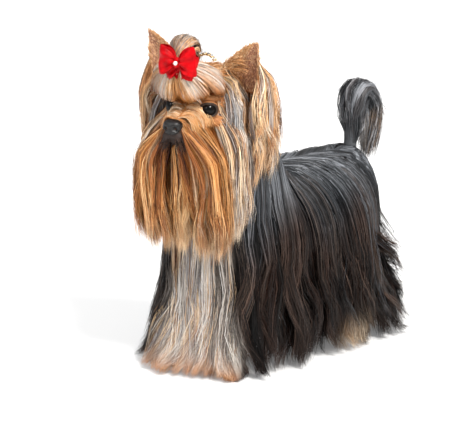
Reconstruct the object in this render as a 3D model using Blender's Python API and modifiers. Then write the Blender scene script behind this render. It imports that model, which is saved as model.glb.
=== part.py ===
"""A Yorkshire terrier in full show coat, standing still, at life size.

Metres, +Z up. The dog faces -Y and its left side is +X. The floor is z = 0, and the
origin lies on it under the middle of the whole model. The solids are the coated form:
their outer faces are where the tips of the coat lie.
"""

import math

import bmesh
import bpy
from mathutils import Matrix, Vector

# Driving sizes of the dog
BACK_HEIGHT = 0.211
COAT_FLOOR_GAP = 0.004
HALF_WIDTH = 0.058
HEM_HALF_WIDTH = 0.062
FRONT_OF_CHEST = -0.108
REAR_OF_RUMP = 0.126
FRONT_FLARE = 0.014
REAR_FLARE = 0.046
LEG_TOP = 0.105
FRONT_LEGS_END = -0.042
HIND_LEGS_START = 0.042
SKIRT_HEM = 0.026
ARCH_HALF_WIDTH = 0.034
HIND_HEM = 0.006
# The right forefoot stands ahead of the left one, so the front of the coat runs aslant
FRONT_SLANT = 0.26
CORNER_PUSH = 0.010
CORNER_FLARE = 0.012
FRONT_PAW = Vector((0.034, -0.098, 0.0))
HIND_PAW = Vector((0.036, 0.092, 0.0))
PAW_REACH = 0.0150
PAW_RISE = 0.0130
PAW_TOES = 2

# The head turns towards the dog's left, about a point between its ears at eye height
HEAD_PLACE = Vector((0.004, -0.106, 0.283))
HEAD_YAW = math.radians(20.5)
EYE_PLACE = Vector((0.0213, -0.0235, 0.0))
EYE_RADIUS = 0.0085
NOSE_TIP = -0.0690
# The head is tipped a little, so the right ear stands higher and further out than the left one
EAR_RISES = {"left": Vector((0.0217, 0.004, 0.0468)), "right": Vector((-0.0340, 0.004, 0.0508))}
TOPKNOT_BASE = Vector((-0.009, -0.039, 0.043))

# Where the middle of the finished model's box lies before everything is shifted onto the origin
MODEL_MIDDLE = Vector((-0.005014, -0.002904, 0.0))

PART_GAP = 0.0004
CORNER_REACH = 1.6
PLANE_REACH = 0.5

COLOURS = {
    "steel_coat": ((0.060, 0.064, 0.072), 0.42),
    "black_coat": ((0.030, 0.024, 0.022), 0.48),
    "tan_coat": ((0.560, 0.290, 0.110), 0.48),
    "gold_coat": ((0.700, 0.450, 0.220), 0.45),
    "silver_coat": ((0.520, 0.460, 0.400), 0.45),
    "nose_leather": ((0.018, 0.016, 0.017), 0.38),
    "eye": ((0.012, 0.008, 0.007), 0.06),
    "red_satin": ((0.700, 0.012, 0.016), 0.32),
    "pearl": ((0.880, 0.840, 0.800), 0.18),
    "clip_metal": ((0.620, 0.600, 0.560), 0.22),
    "crystal": ((0.850, 0.800, 0.700), 0.06),
}

parts = bpy.data.collections.new("yorkshire_terrier")
helpers = bpy.data.collections.new("cutters")
materials = {}


def clear_scene():
    for obj in list(bpy.data.objects):
        bpy.data.objects.remove(obj, do_unlink=True)
    bpy.context.scene.collection.children.link(parts)
    bpy.context.scene.collection.children.link(helpers)


def material(name):
    """A plain Principled material of the coat, leather, ribbon or metal."""
    if name not in materials:
        made = bpy.data.materials.new(name)
        made.use_nodes = True
        shader = made.node_tree.nodes["Principled BSDF"]
        colour, roughness = COLOURS[name]
        shader.inputs["Base Color"].default_value = (*colour, 1)
        shader.inputs["Roughness"].default_value = roughness
        shader.inputs["Metallic"].default_value = 1.0 if name == "clip_metal" else 0.0
        materials[name] = made
    return materials[name]


def place(name, mesh_data, finish, frame=None):
    """An object of the model, in the frame of an empty where one is given."""
    obj = bpy.data.objects.new(name, mesh_data)
    obj.data.materials.clear()
    obj.data.materials.append(material(finish))
    obj.parent = frame
    parts.objects.link(obj)
    return obj


def hide_as_helper(obj):
    for collection in list(obj.users_collection):
        collection.objects.unlink(obj)
    helpers.objects.link(obj)
    obj.hide_render = True
    obj.display_type = "WIRE"


def finished(shape, name):
    bmesh.ops.recalc_face_normals(shape, faces=shape.faces)
    data = bpy.data.meshes.new(name)
    shape.to_mesh(data)
    shape.free()
    data.shade_smooth()
    data.set_sharp_from_angle(angle=math.radians(60))
    return data


def rounded(value, power):
    """One axis of a superellipse: power 2 is an ellipse, more is squarer."""
    return math.copysign(abs(value) ** (2 / power), value)


def ring(centre, across, along, half_across, half_along, power=2.0, count=24):
    """Points of a closed superellipse round a centre, spanned by two directions."""
    points = []
    for k in range(count):
        turn = math.tau * (k + 0.5) / count
        points.append(
            centre
            + across * (half_across * rounded(math.cos(turn), power))
            + along * (half_along * rounded(math.sin(turn), power))
        )
    return points


def loft(name, rings):
    """A closed skin over rings of the same count, with both ends filled."""
    shape = bmesh.new()
    rows = [[shape.verts.new(point) for point in points] for points in rings]
    count = len(rows[0])
    for low, high in zip(rows, rows[1:]):
        for k in range(count):
            after = (k + 1) % count
            shape.faces.new((low[k], low[after], high[after], high[k]))
    shape.faces.new(rows[0])
    shape.faces.new(rows[-1])
    return finished(shape, name)


def level_rings(levels, power=2.4, count=24):
    """Horizontal rings from (height, middle x, middle y, half width, half depth) rows."""
    x_axis, y_axis = Vector((1, 0, 0)), Vector((0, 1, 0))
    return [
        ring(Vector((x, y, z)), x_axis, y_axis, half_x, half_y, power, count)
        for z, x, y, half_x, half_y in levels
    ]


def upright_rings(rows, power=2.4, count=16):
    """Rings across the head's length from (distance back, middle height, half width, half height) rows."""
    x_axis, z_axis = Vector((1, 0, 0)), Vector((0, 0, 1))
    return [
        ring(Vector((0, y, z)), x_axis, z_axis, half_x, half_z, power, count)
        for y, z, half_x, half_z in rows
    ]


def tube_rings(path, radii, flatten=1.0, power=2.0, count=20):
    """Rings square to a path, with a half width at each point and a share of it as half thickness."""
    side_axis = Vector((1, 0, 0))
    rings = []
    for k, (point, radius) in enumerate(zip(path, radii)):
        ahead = path[min(k + 1, len(path) - 1)] - path[max(k - 1, 0)]
        across = side_axis - ahead.normalized() * side_axis.dot(ahead.normalized())
        across.normalize()
        upward = ahead.normalized().cross(across)
        rings.append(ring(point, across, upward, radius, radius * flatten, power, count))
    return rings


def smooth_path(points, steps):
    """Points on a Catmull-Rom curve through a few given ones."""
    ends = [points[0] * 2 - points[1], *points, points[-1] * 2 - points[-2]]
    path = []
    for k in range(steps + 1):
        along = k / steps * (len(points) - 1)
        n = min(int(along), len(points) - 2)
        t = along - n
        a, b, c, d = ends[n : n + 4]
        path.append(
            0.5
            * (
                2 * b
                + (c - a) * t
                + (2 * a - 5 * b + 4 * c - d) * t**2
                + (3 * b - a - 3 * c + d) * t**3
            )
        )
    return path


def eased(values, steps):
    """The same smooth curve for plain numbers, such as radii."""
    points = smooth_path([Vector((v, 0, 0)) for v in values], steps)
    return [max(point.x, 0.0004) for point in points]


def ball(name, centre, half_sizes, rings=8, segments=12):
    """An ellipsoid with its poles up and down."""
    shape = bmesh.new()
    bmesh.ops.create_uvsphere(shape, u_segments=segments, v_segments=rings, radius=1.0)
    bmesh.ops.transform(
        shape, matrix=Matrix.Translation(centre) @ Matrix.Diagonal((*half_sizes, 1)), verts=shape.verts
    )
    return finished(shape, name)


def block(name, low, high):
    """A box cutter between two corners."""
    low, high = Vector(low), Vector(high)
    shape = bmesh.new()
    bmesh.ops.create_cube(shape, size=1.0)
    bmesh.ops.transform(
        shape,
        matrix=Matrix.Translation((low + high) / 2) @ Matrix.Diagonal((*(high - low), 1)),
        verts=shape.verts,
    )
    obj = bpy.data.objects.new(name, finished(shape, name))
    hide_as_helper(obj)
    return obj


def grown_copy(obj, clearance):
    """A hidden cutter: the object in world space, swollen along its normals."""
    bpy.context.view_layer.update()
    graph = bpy.context.evaluated_depsgraph_get()
    data = bpy.data.meshes.new_from_object(obj.evaluated_get(graph))
    data.transform(obj.matrix_world)
    shape = bmesh.new()
    shape.from_mesh(data)
    bmesh.ops.remove_doubles(shape, verts=shape.verts, dist=1e-6)
    bmesh.ops.recalc_face_normals(shape, faces=shape.faces)
    shape.normal_update()
    for vert in shape.verts:
        vert.co += vert.normal * clearance * min(vert.calc_shell_factor(), CORNER_REACH)
    shape.to_mesh(data)
    shape.free()
    cutter = bpy.data.objects.new(obj.name + "_room", data)
    hide_as_helper(cutter)
    return cutter


def apply_boolean(obj, cutter, operation):
    """Runs one Boolean and keeps the largest piece, in the object's own frame."""
    step = obj.modifiers.new("cut", "BOOLEAN")
    step.object = cutter
    step.operation = operation
    bpy.context.view_layer.update()
    graph = bpy.context.evaluated_depsgraph_get()
    data = bpy.data.meshes.new_from_object(obj.evaluated_get(graph))
    obj.modifiers.clear()
    shape = bmesh.new()
    shape.from_mesh(data)
    keep_largest(shape)
    shape.to_mesh(data)
    shape.free()
    data.materials.clear()
    for slot in obj.data.materials:
        data.materials.append(slot)
    obj.data = data


def keep_largest(shape):
    """Deletes the crumbs that a cut leaves loose."""
    left = set(shape.faces)
    islands = []
    while left:
        start = left.pop()
        island, edge = {start}, [start]
        while edge:
            face = edge.pop()
            for near in {f for e in face.edges for f in e.link_faces} & left:
                left.discard(near)
                island.add(near)
                edge.append(near)
        islands.append(island)
    islands.sort(key=lambda faces: sum(face.calc_area() for face in faces))
    loose = [face for island in islands[:-1] for face in island]
    bmesh.ops.delete(shape, geom=loose, context="FACES")


def make_room(obj, *neighbours):
    """Cuts an object back from its neighbours, with the parting gap between them."""
    for neighbour in neighbours:
        cutter = grown_copy(neighbour, PART_GAP)
        apply_boolean(obj, cutter, "DIFFERENCE")
        bpy.data.objects.remove(cutter, do_unlink=True)


def parted(name, whole, finish, low, high):
    """The stretch of a whole form inside a box, as its own part."""
    obj = place(name, whole.data.copy(), finish, whole.parent)
    cutter = block(name + "_cut", low, high)
    apply_boolean(obj, cutter, "INTERSECT")
    bpy.data.objects.remove(cutter, do_unlink=True)
    return obj


def bell_levels():
    """The coated body from hem to back: (height, middle x, middle y, half width, half depth)."""
    shoulder = 0.145
    levels = []
    hem_front, hem_rear = FRONT_OF_CHEST - FRONT_FLARE, REAR_OF_RUMP + REAR_FLARE
    for k in range(6):
        share = k / 5
        z = COAT_FLOOR_GAP + share * (shoulder - COAT_FLOOR_GAP)
        flare = (1 - share) ** 2.6
        front = FRONT_OF_CHEST + (hem_front - FRONT_OF_CHEST) * flare
        rear = REAR_OF_RUMP + (hem_rear - REAR_OF_RUMP) * flare
        half = HALF_WIDTH + (HEM_HALF_WIDTH - HALF_WIDTH) * flare
        levels.append((z, 0, (front + rear) / 2, half, (rear - front) / 2))
    for k in range(1, 7):
        turn = math.radians(90) * k / 6.5
        z = shoulder + (BACK_HEIGHT - shoulder) * math.sin(turn)
        round_off = math.cos(turn)
        front = FRONT_OF_CHEST + 0.050 * (1 - round_off)
        rear = REAR_OF_RUMP - 0.024 * (1 - round_off)
        half = HALF_WIDTH * (0.06 + 0.94 * round_off**0.9)
        levels.append((z, 0, (front + rear) / 2, half, (rear - front) / 2))
    return levels


def stood(point):
    """Moves a point of the bell for the stance: the front runs aslant, with the right corner pushed out."""
    ahead = min(1.0, max(0.0, (0.02 - point.y) / 0.09))
    ahead *= ahead * (3 - 2 * ahead)
    low = max(0.0, 1 - point.z / LEG_TOP)
    corner = (CORNER_PUSH + CORNER_FLARE * low**2) * ahead * max(0.0, -point.x / HALF_WIDTH)
    return point + Vector((-corner, FRONT_SLANT * point.x * ahead - corner, 0))


def make_body(stance):
    """The bell of the coat, parted into trunk, legs and side curtains, and the paws under it."""
    rings = [[stood(point) for point in points] for points in level_rings(bell_levels(), 3.4, 32)]
    whole = place("bell", loft("bell", rings), "steel_coat", stance)
    arch_front, arch_rear = FRONT_LEGS_END - PART_GAP / 2, HIND_LEGS_START + PART_GAP / 2
    arch = block("belly_arch", (-ARCH_HALF_WIDTH, arch_front, -0.1), (ARCH_HALF_WIDTH, arch_rear, LEG_TOP))
    apply_boolean(whole, arch, "DIFFERENCE")
    far, gap = PLANE_REACH, PART_GAP / 2
    body = {
        "trunk": parted("trunk", whole, "steel_coat", (-far, -far, LEG_TOP + gap), (far, far, far))
    }
    for side, sign in (("left", 1), ("right", -1)):
        inner, outer = sorted((sign * gap, sign * far))
        top = LEG_TOP - gap
        for name, finish, start, end in (
            (f"leg_front_{side}", "silver_coat", -far, FRONT_LEGS_END - gap),
            (f"skirt_{side}", "black_coat", FRONT_LEGS_END + gap, HIND_LEGS_START - gap),
            (f"leg_hind_{side}", "black_coat", HIND_LEGS_START + gap, far),
        ):
            hem = {"skirt": SKIRT_HEM, "leg_hind": HIND_HEM}.get(name.rsplit("_", 1)[0], -far)
            body[name] = parted(name, whole, finish, (inner, start, hem), (outer, end, top))
        for pair, spot in (("front", FRONT_PAW), ("hind", HIND_PAW)):
            spot = Vector((sign * spot.x, spot.y + (pair == "front") * sign * FRONT_SLANT * spot.x, 0))
            paw = make_paw(f"paw_{pair}_{side}", spot, stance, body[f"leg_{pair}_{side}"])
            body[paw.name] = paw
    bpy.data.objects.remove(whole, do_unlink=True)
    return body


def paw_mesh(name, spot, grow, floor):
    """A small round foot with four toes in front, cut off flat at a floor height."""
    shape = bmesh.new()
    bmesh.ops.create_uvsphere(shape, u_segments=18, v_segments=8, radius=1.0)
    for vert in shape.verts:
        way = vert.co.copy()
        turn = math.atan2(way.x, -way.y)
        front = max(0.0, math.cos(turn)) ** 0.5
        toe = 0.0016 * front * abs(math.cos(turn * PAW_TOES * 0.95))
        reach = PAW_REACH + toe + grow
        vert.co = Vector((way.x * (reach - 0.0015), way.y * reach, way.z * (PAW_RISE + grow)))
        vert.co.z = max(vert.co.z + PAW_RISE * 0.72, floor)
        vert.co += spot
    bmesh.ops.remove_doubles(shape, verts=shape.verts, dist=1e-5)
    bmesh.ops.dissolve_limit(shape, angle_limit=math.radians(1), verts=shape.verts, edges=shape.edges)
    return finished(shape, name)


def make_paw(name, spot, stance, leg):
    """A paw on the floor, and the room for it inside the coat of its leg."""
    paw = place(name, paw_mesh(name, spot, 0.0, 0.0), "tan_coat", stance)
    room = place(name + "_room", paw_mesh(name, spot, PART_GAP * 1.5, -0.01), "tan_coat", stance)
    apply_boolean(leg, room, "DIFFERENCE")
    bpy.data.objects.remove(room, do_unlink=True)
    return paw


def make_tail(stance, trunk):
    """The docked tail, carried up, and the plume that falls from its back."""
    path = smooth_path(
        [
            Vector((0, 0.112, 0.188)),
            Vector((0, 0.116, 0.228)),
            Vector((0, 0.113, 0.258)),
            Vector((0, 0.116, 0.280)),
        ],
        9,
    )
    tail = place(
        "tail",
        loft("tail", tube_rings(path, eased([0.017, 0.0150, 0.0150, 0.0060], 9), 0.95, 2.0, 14)),
        "steel_coat",
        stance,
    )
    make_room(tail, trunk)
    fall = smooth_path(
        [
            Vector((0, 0.121, 0.273)),
            Vector((0, 0.132, 0.256)),
            Vector((0, 0.139, 0.235)),
            Vector((0, 0.146, 0.212)),
            Vector((0, 0.148, 0.190)),
        ],
        10,
    )
    plume_radii = eased([0.008, 0.0150, 0.0150, 0.0110, 0.0035], 10)
    plume = place(
        "tail_plume",
        loft("tail_plume", tube_rings(fall, plume_radii, 0.78, 2.0, 14)),
        "black_coat",
        stance,
    )
    make_room(plume, tail, trunk)
    return tail, plume


def make_neck(stance):
    """The neck under its mane, from the shoulders to the back of the head."""
    path = smooth_path(
        [
            Vector((0, -0.040, 0.120)),
            Vector((0, -0.062, 0.185)),
            Vector((0.001, -0.078, 0.235)),
            Vector((0.004, -0.090, 0.285)),
        ],
        8,
    )
    rings = tube_rings(path, eased([0.045, 0.052, 0.048, 0.036], 8), 0.85, 2.2, 18)
    return place("neck", loft("neck", rings), "steel_coat", stance)


def head_frame(stance):
    frame = bpy.data.objects.new("head_frame", None)
    frame.location = HEAD_PLACE
    frame.rotation_euler.z = HEAD_YAW
    frame.parent = stance
    helpers.objects.link(frame)
    return frame


def make_head(frame):
    """Skull and muzzle under short hair, with the nose leather and the eyes."""
    skull_rows = (
        (0.046, 0.003, 0.010, 0.012),
        (0.038, 0.004, 0.026, 0.028),
        (0.020, 0.006, 0.036, 0.036),
        (0.000, 0.006, 0.039, 0.038),
        (-0.016, 0.004, 0.036, 0.034),
        (-0.028, 0.000, 0.027, 0.026),
        (-0.034, -0.002, 0.020, 0.020),
    )
    skull = place(
        "head",
        loft("head", upright_rings(skull_rows, 2.1, 18)),
        "tan_coat",
        frame,
    )
    muzzle_rows = (
        (-0.024, -0.014, 0.020, 0.017),
        (-0.036, -0.0145, 0.019, 0.016),
        (-0.050, -0.016, 0.0165, 0.0145),
        (-0.060, -0.0170, 0.0135, 0.0125),
        (-0.0655, -0.0175, 0.0090, 0.0090),
    )
    muzzle = place(
        "muzzle",
        loft("muzzle", upright_rings(muzzle_rows, 2.3, 16)),
        "tan_coat",
        frame,
    )
    nose = place(
        "nose",
        ball("nose", Vector((0, NOSE_TIP + 0.0070, -0.0110)), (0.0098, 0.0072, 0.0078), 8, 14),
        "nose_leather",
        frame,
    )
    head = {"head": skull, "muzzle": muzzle, "nose": nose}
    for side, sign in (("left", 1), ("right", -1)):
        centre = Vector((sign * EYE_PLACE.x, EYE_PLACE.y, EYE_PLACE.z))
        eye = place(f"eye_{side}", ball("eye", centre, (EYE_RADIUS,) * 3, 8, 14), "eye", frame)
        make_room(skull, eye)
        make_room(muzzle, eye)
        head[eye.name] = eye
    make_room(muzzle, skull, nose)
    return head


def ear_sheet(side, sign):
    """An upright ear with a straight outer edge and a bowed inner one, cupped forwards: an open sheet
    that is then given its thickness."""
    base = Vector((sign * 0.0335, 0.004, 0.018))
    columns, rows = 4, 7
    shape = bmesh.new()
    grid = []
    for r in range(rows + 1):
        up = r / rows
        outer = 0.0270 * (1 - up) + 0.0012
        inner = min(0.0345 * math.sqrt(1 - up), 0.0150 + 0.0215 * up) + 0.0012
        line = []
        for c in range(columns + 1):
            across = c / columns * 2 - 1
            half = outer if across > 0 else inner
            cup = 0.0085 * (1 - up) * (1 - across**2)
            bend = cup - abs(across) * half * 0.10
            spot = base + EAR_RISES[side] * up + Vector((sign * across * half, bend, 0))
            line.append(shape.verts.new(spot))
        grid.append(line)
    for low, high in zip(grid, grid[1:]):
        for c in range(columns):
            shape.faces.new((low[c], low[c + 1], high[c + 1], high[c]))
    return shape


def make_ear(side, sign, frame, skull):
    data = finished(ear_sheet(side, sign), f"ear_{side}")
    ear = place(f"ear_{side}", data, "tan_coat", frame)
    thick = ear.modifiers.new("thickness", "SOLIDIFY")
    thick.thickness = 0.0034
    thick.offset = 0.0
    bpy.context.view_layer.update()
    graph = bpy.context.evaluated_depsgraph_get()
    solid = bpy.data.meshes.new_from_object(ear.evaluated_get(graph))
    ear.modifiers.clear()
    ear.data = solid
    make_room(ear, skull)
    return ear


def fall(name, levels, finish, frame, power=2.2, count=14):
    """A hanging lock of long coat, from rows of (height, middle x, middle y, half width, half depth)."""
    return place(name, loft(name, level_rings(levels, power, count)), finish, frame)


def make_head_coat(frame, head, ears):
    """The long falls of the head: moustache, beard, cheeks, ear fringes, and the tied-up top."""
    coat = {}
    keep_clear = [head["head"], head["muzzle"], head["nose"]]
    for side, sign in (("left", 1), ("right", -1)):
        coat[f"moustache_{side}"] = fall(
            f"moustache_{side}",
            [
                (-0.006, sign * 0.0165, -0.048, 0.0050, 0.0100),
                (-0.018, sign * 0.0240, -0.049, 0.0095, 0.0130),
                (-0.040, sign * 0.0310, -0.048, 0.0135, 0.0140),
                (-0.070, sign * 0.0330, -0.046, 0.0155, 0.0140),
                (-0.100, sign * 0.0330, -0.044, 0.0165, 0.0130),
                (-0.126, sign * 0.0320, -0.043, 0.0145, 0.0105),
                (-0.144, sign * 0.0300, -0.042, 0.0070, 0.0045),
            ],
            "tan_coat",
            frame,
        )
        coat[f"cheek_fall_{side}"] = fall(
            f"cheek_fall_{side}",
            [
                (-0.002, sign * 0.0400, -0.014, 0.0060, 0.0080),
                (-0.020, sign * 0.0440, -0.016, 0.0110, 0.0130),
                (-0.050, sign * 0.0450, -0.018, 0.0130, 0.0160),
                (-0.080, sign * 0.0440, -0.018, 0.0140, 0.0150),
                (-0.110, sign * 0.0430, -0.018, 0.0130, 0.0120),
                (-0.134, sign * 0.0410, -0.018, 0.0060, 0.0050),
            ],
            "gold_coat",
            frame,
        )
        coat[f"ear_fringe_{side}"] = fall(
            f"ear_fringe_{side}",
            [
                (0.044, sign * 0.0540, 0.010, 0.0060, 0.0080),
                (0.028, sign * 0.0550, 0.010, 0.0110, 0.0170),
                (0.006, sign * 0.0570, 0.011, 0.0130, 0.0230),
                (-0.020, sign * 0.0560, 0.012, 0.0135, 0.0250),
                (-0.050, sign * 0.0530, 0.012, 0.0140, 0.0230),
                (-0.080, sign * 0.0490, 0.012, 0.0120, 0.0190),
                (-0.105, sign * 0.0460, 0.012, 0.0050, 0.0090),
            ],
            "gold_coat",
            frame,
        )
    coat["beard"] = fall(
        "beard",
        [
            (-0.024, 0, -0.046, 0.0130, 0.0130),
            (-0.045, 0, -0.044, 0.0200, 0.0130),
            (-0.080, 0, -0.040, 0.0240, 0.0130),
            (-0.115, 0, -0.038, 0.0240, 0.0110),
            (-0.142, 0, -0.038, 0.0140, 0.0050),
        ],
        "tan_coat",
        frame,
    )
    make_room(coat["beard"], head["muzzle"], head["head"])
    for side in ("left", "right"):
        make_room(coat[f"moustache_{side}"], *keep_clear, coat["beard"])
        make_room(coat[f"cheek_fall_{side}"], head["head"], head["muzzle"], coat[f"moustache_{side}"])
        make_room(coat[f"ear_fringe_{side}"], head["head"], ears[side], coat[f"cheek_fall_{side}"])
    return coat


def make_top(frame, head):
    """The hair of the brow, drawn up over the forehead, and the knot that it is tied into."""
    forelock = place(
        "forelock",
        ball("forelock", Vector((-0.002, -0.020, 0.022)), (0.0335, 0.0275, 0.0250), 10, 18),
        "gold_coat",
        frame,
    )
    brow = block("brow", (-0.2, -0.2, -0.2), (0.2, 0.2, 0.2))
    brow.parent = frame
    brow.rotation_euler.x = math.radians(-14)
    brow.location = Vector((0, 0, -0.2 - 0.0035))
    apply_boolean(forelock, brow, "DIFFERENCE")
    bpy.data.objects.remove(brow, do_unlink=True)
    roll_rows = (
        (-0.004, 0.000, 0.005, 0.0115, 0.0125),
        (0.004, 0.001, 0.008, 0.0135, 0.0170),
        (0.012, 0.002, 0.012, 0.0145, 0.0210),
        (0.019, 0.003, 0.014, 0.0135, 0.0190),
        (0.025, 0.004, 0.015, 0.0105, 0.0140),
        (0.029, 0.004, 0.015, 0.0050, 0.0070),
    )
    topknot = place("topknot", loft("topknot", level_rings(roll_rows, 2.1, 14)), "gold_coat", frame)
    for vert in topknot.data.vertices:
        vert.co += TOPKNOT_BASE
    make_room(forelock, head["head"], head["eye_left"], head["eye_right"])
    make_room(topknot, forelock, head["head"])
    return {"forelock": forelock, "topknot": topknot}


def make_bow(frame):
    """A red satin bow with two full loops, two short ends, a knot and a pearl."""
    centre = TOPKNOT_BASE + Vector((0.0113, -0.0155, 0.0070))
    bow = bpy.data.objects.new("bow_frame", None)
    bow.location = centre
    bow.parent = frame
    helpers.objects.link(bow)
    x_axis, y_axis, z_axis = Vector((1, 0, 0)), Vector((0, 1, 0)), Vector((0, 0, 1))
    knot_depth, pearl_radius = 0.0034, 0.0018
    knot_shape = ball("bow_knot", Vector(), (0.0042, knot_depth, 0.0052), 6, 10)
    knot = place("bow_knot", knot_shape, "red_satin", bow)
    made = {"bow_knot": knot}
    for side, sign in (("left", 1), ("right", -1)):
        path = smooth_path(
            [
                Vector((sign * 0.0030, 0, 0.0)),
                Vector((sign * 0.0110, -0.0005, 0.0010)),
                Vector((sign * 0.0198, 0.0015, 0.0008)),
            ],
            6,
        )
        half_highs = eased([0.0042, 0.0140, 0.0130], 6)
        half_deeps = eased([0.0022, 0.0058, 0.0026], 6)
        rings = [
            ring(spot, y_axis, z_axis, deep, high, 2.4, 12)
            for spot, high, deep in zip(path, half_highs, half_deeps)
        ]
        loop = place(f"bow_loop_{side}", loft(f"bow_loop_{side}", rings), "red_satin", bow)
        make_room(loop, knot)
        made[loop.name] = loop
        path = smooth_path(
            [
                Vector((sign * 0.0034, 0.001, -0.0035)),
                Vector((sign * 0.0058, 0.0015, -0.0110)),
                Vector((sign * 0.0080, 0.0020, -0.0165)),
            ],
            4,
        )
        rings = [
            ring(spot, x_axis, y_axis, half_wide, 0.0012, 2.4, 8)
            for spot, half_wide in zip(path, eased([0.0024, 0.0040, 0.0044], 4))
        ]
        end = place(f"bow_end_{side}", loft(f"bow_end_{side}", rings), "red_satin", bow)
        make_room(end, knot, loop)
        made[end.name] = end
    spot = Vector((0, -knot_depth - pearl_radius - PART_GAP, 0))
    made["bow_pearl"] = place("bow_pearl", ball("bow_pearl", spot, (pearl_radius,) * 3, 6, 8), "pearl", bow)
    return made


def make_clip(frame):
    """A jewelled hair slide beside the knot: a bar and a fan of set stones."""
    seat = Vector((0.0175, -0.028, 0.0460))
    bar = ball("clip_bar", seat, (0.0095, 0.0032, 0.0015), 4, 10)
    made = {"clip_bar": place("clip_bar", bar, "clip_metal", frame)}
    for k in range(5):
        swing = math.radians(-32 + 25 * k)
        spot = seat + Vector((0.0098 * math.sin(swing), 0, 0.0020 + 0.0078 * math.cos(swing)))
        stone = place(f"clip_stone_{k + 1}", ball("stone", spot, (0.0017,) * 3, 4, 8), "crystal", frame)
        made[stone.name] = stone
    return made


def main():
    clear_scene()
    stance = bpy.data.objects.new("stance", None)
    stance.location = -MODEL_MIDDLE
    helpers.objects.link(stance)
    body = make_body(stance)
    neck = make_neck(stance)
    frame = head_frame(stance)
    bpy.context.view_layer.update()
    head = make_head(frame)
    ears = {
        side: make_ear(side, sign, frame, head["head"]) for side, sign in (("left", 1), ("right", -1))
    }
    top = make_top(frame, head)
    coat = make_head_coat(frame, head, ears)
    bow = make_bow(frame)
    clip = make_clip(frame)
    make_tail(stance, body["trunk"])
    make_room(neck, head["head"])
    make_room(body["trunk"], neck)
    for piece in coat.values():
        make_room(piece, neck, body["trunk"])
    for piece in (top["forelock"], top["topknot"]):
        make_room(piece, *bow.values(), *clip.values())
    for ear in ears.values():
        make_room(ear, top["forelock"])


main()
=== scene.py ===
"""The looks of the Yorkshire terrier: one skin, wet eyes and nose, a satin bow with its clip, and a long
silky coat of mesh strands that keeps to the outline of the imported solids. Lengths are in metres."""
import math

import bmesh
import bpy
import numpy as np
from mathutils import Matrix, Vector
from mathutils.bvhtree import BVHTree


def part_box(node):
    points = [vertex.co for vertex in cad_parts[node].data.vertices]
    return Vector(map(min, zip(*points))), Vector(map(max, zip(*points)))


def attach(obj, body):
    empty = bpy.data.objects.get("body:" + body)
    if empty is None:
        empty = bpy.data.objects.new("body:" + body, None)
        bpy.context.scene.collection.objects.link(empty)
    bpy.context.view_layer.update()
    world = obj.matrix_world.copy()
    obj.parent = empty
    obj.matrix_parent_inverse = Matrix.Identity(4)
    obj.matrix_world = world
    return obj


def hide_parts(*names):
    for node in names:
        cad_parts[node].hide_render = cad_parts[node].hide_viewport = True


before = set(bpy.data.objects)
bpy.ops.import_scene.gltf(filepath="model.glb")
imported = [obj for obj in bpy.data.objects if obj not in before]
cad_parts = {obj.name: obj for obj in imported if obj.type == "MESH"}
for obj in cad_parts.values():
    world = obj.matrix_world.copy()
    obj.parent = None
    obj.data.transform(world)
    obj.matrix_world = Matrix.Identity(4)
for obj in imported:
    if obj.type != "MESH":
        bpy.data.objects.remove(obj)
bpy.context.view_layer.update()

UP = np.array((0.0, 0.0, 1.0))
TURN = 2 * math.pi
SIDES = (("left", 1.0), ("right", -1.0))

# Coat tones, each from dark through middle to light, in linear light
TONES = {name: np.array(tones) for name, tones in {
    "steel": ((0.002, 0.003, 0.004), (0.016, 0.018, 0.021), (0.210, 0.225, 0.250)),
    "slate": ((0.024, 0.026, 0.029), (0.138, 0.147, 0.162), (0.410, 0.430, 0.465)),
    "black": ((0.001, 0.001, 0.001), (0.008, 0.0055, 0.0045), (0.075, 0.052, 0.040)),
    "silver": ((0.130, 0.100, 0.085), (0.540, 0.470, 0.410), (0.860, 0.830, 0.790)),
    "cream": ((0.260, 0.130, 0.060), (0.640, 0.430, 0.260), (0.860, 0.720, 0.550)),
    "gold": ((0.130, 0.036, 0.007), (0.610, 0.268, 0.075), (0.860, 0.570, 0.290)),
    "tan": ((0.066, 0.014, 0.003), (0.470, 0.150, 0.030), (0.790, 0.390, 0.135)),
    "rust": ((0.014, 0.004, 0.001), (0.170, 0.040, 0.008), (0.520, 0.170, 0.042)),
    "ash": ((0.030, 0.026, 0.027), (0.170, 0.155, 0.160), (0.560, 0.540, 0.550)),
    "blush": ((0.190, 0.065, 0.035), (0.520, 0.235, 0.140), (0.750, 0.430, 0.290)),
}.items()}


def unit(vectors):
    return vectors / np.maximum(np.linalg.norm(vectors, axis=-1, keepdims=True), 1e-9)


def ease(low, high, values):
    """0 at low, 1 at high, with a soft start and end between them."""
    t = np.clip((values - low) / (high - low), 0, 1)
    return t * t * (3 - 2 * t)


def xyz(*columns):
    """Places from their columns, any of which may be a single number."""
    return np.stack(np.broadcast_arrays(*columns), -1).astype(float)


def bell(values, width):
    return np.exp(-((values / width) ** 2))


def spline(rows, steps):
    """Rows of numbers joined by a smooth curve through them, with so many steps to each stretch."""
    rows = np.asarray(rows, float)
    ends = np.vstack([2 * rows[0] - rows[1], rows, 2 * rows[-1] - rows[-2]])
    t = np.linspace(0, 1, steps, endpoint=False)[:, None]
    parts = []
    for a, b, c, d in zip(ends, ends[1:], ends[2:], ends[3:]):
        parts.append(b + t * (c - a + t * (2 * a - 5 * b + 4 * c - d + t * (3 * b - a - 3 * c + d))) / 2)
    return np.vstack(parts + [rows[-1:]])


def middle(name):
    low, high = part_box(name)
    return (low + high) / 2


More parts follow.
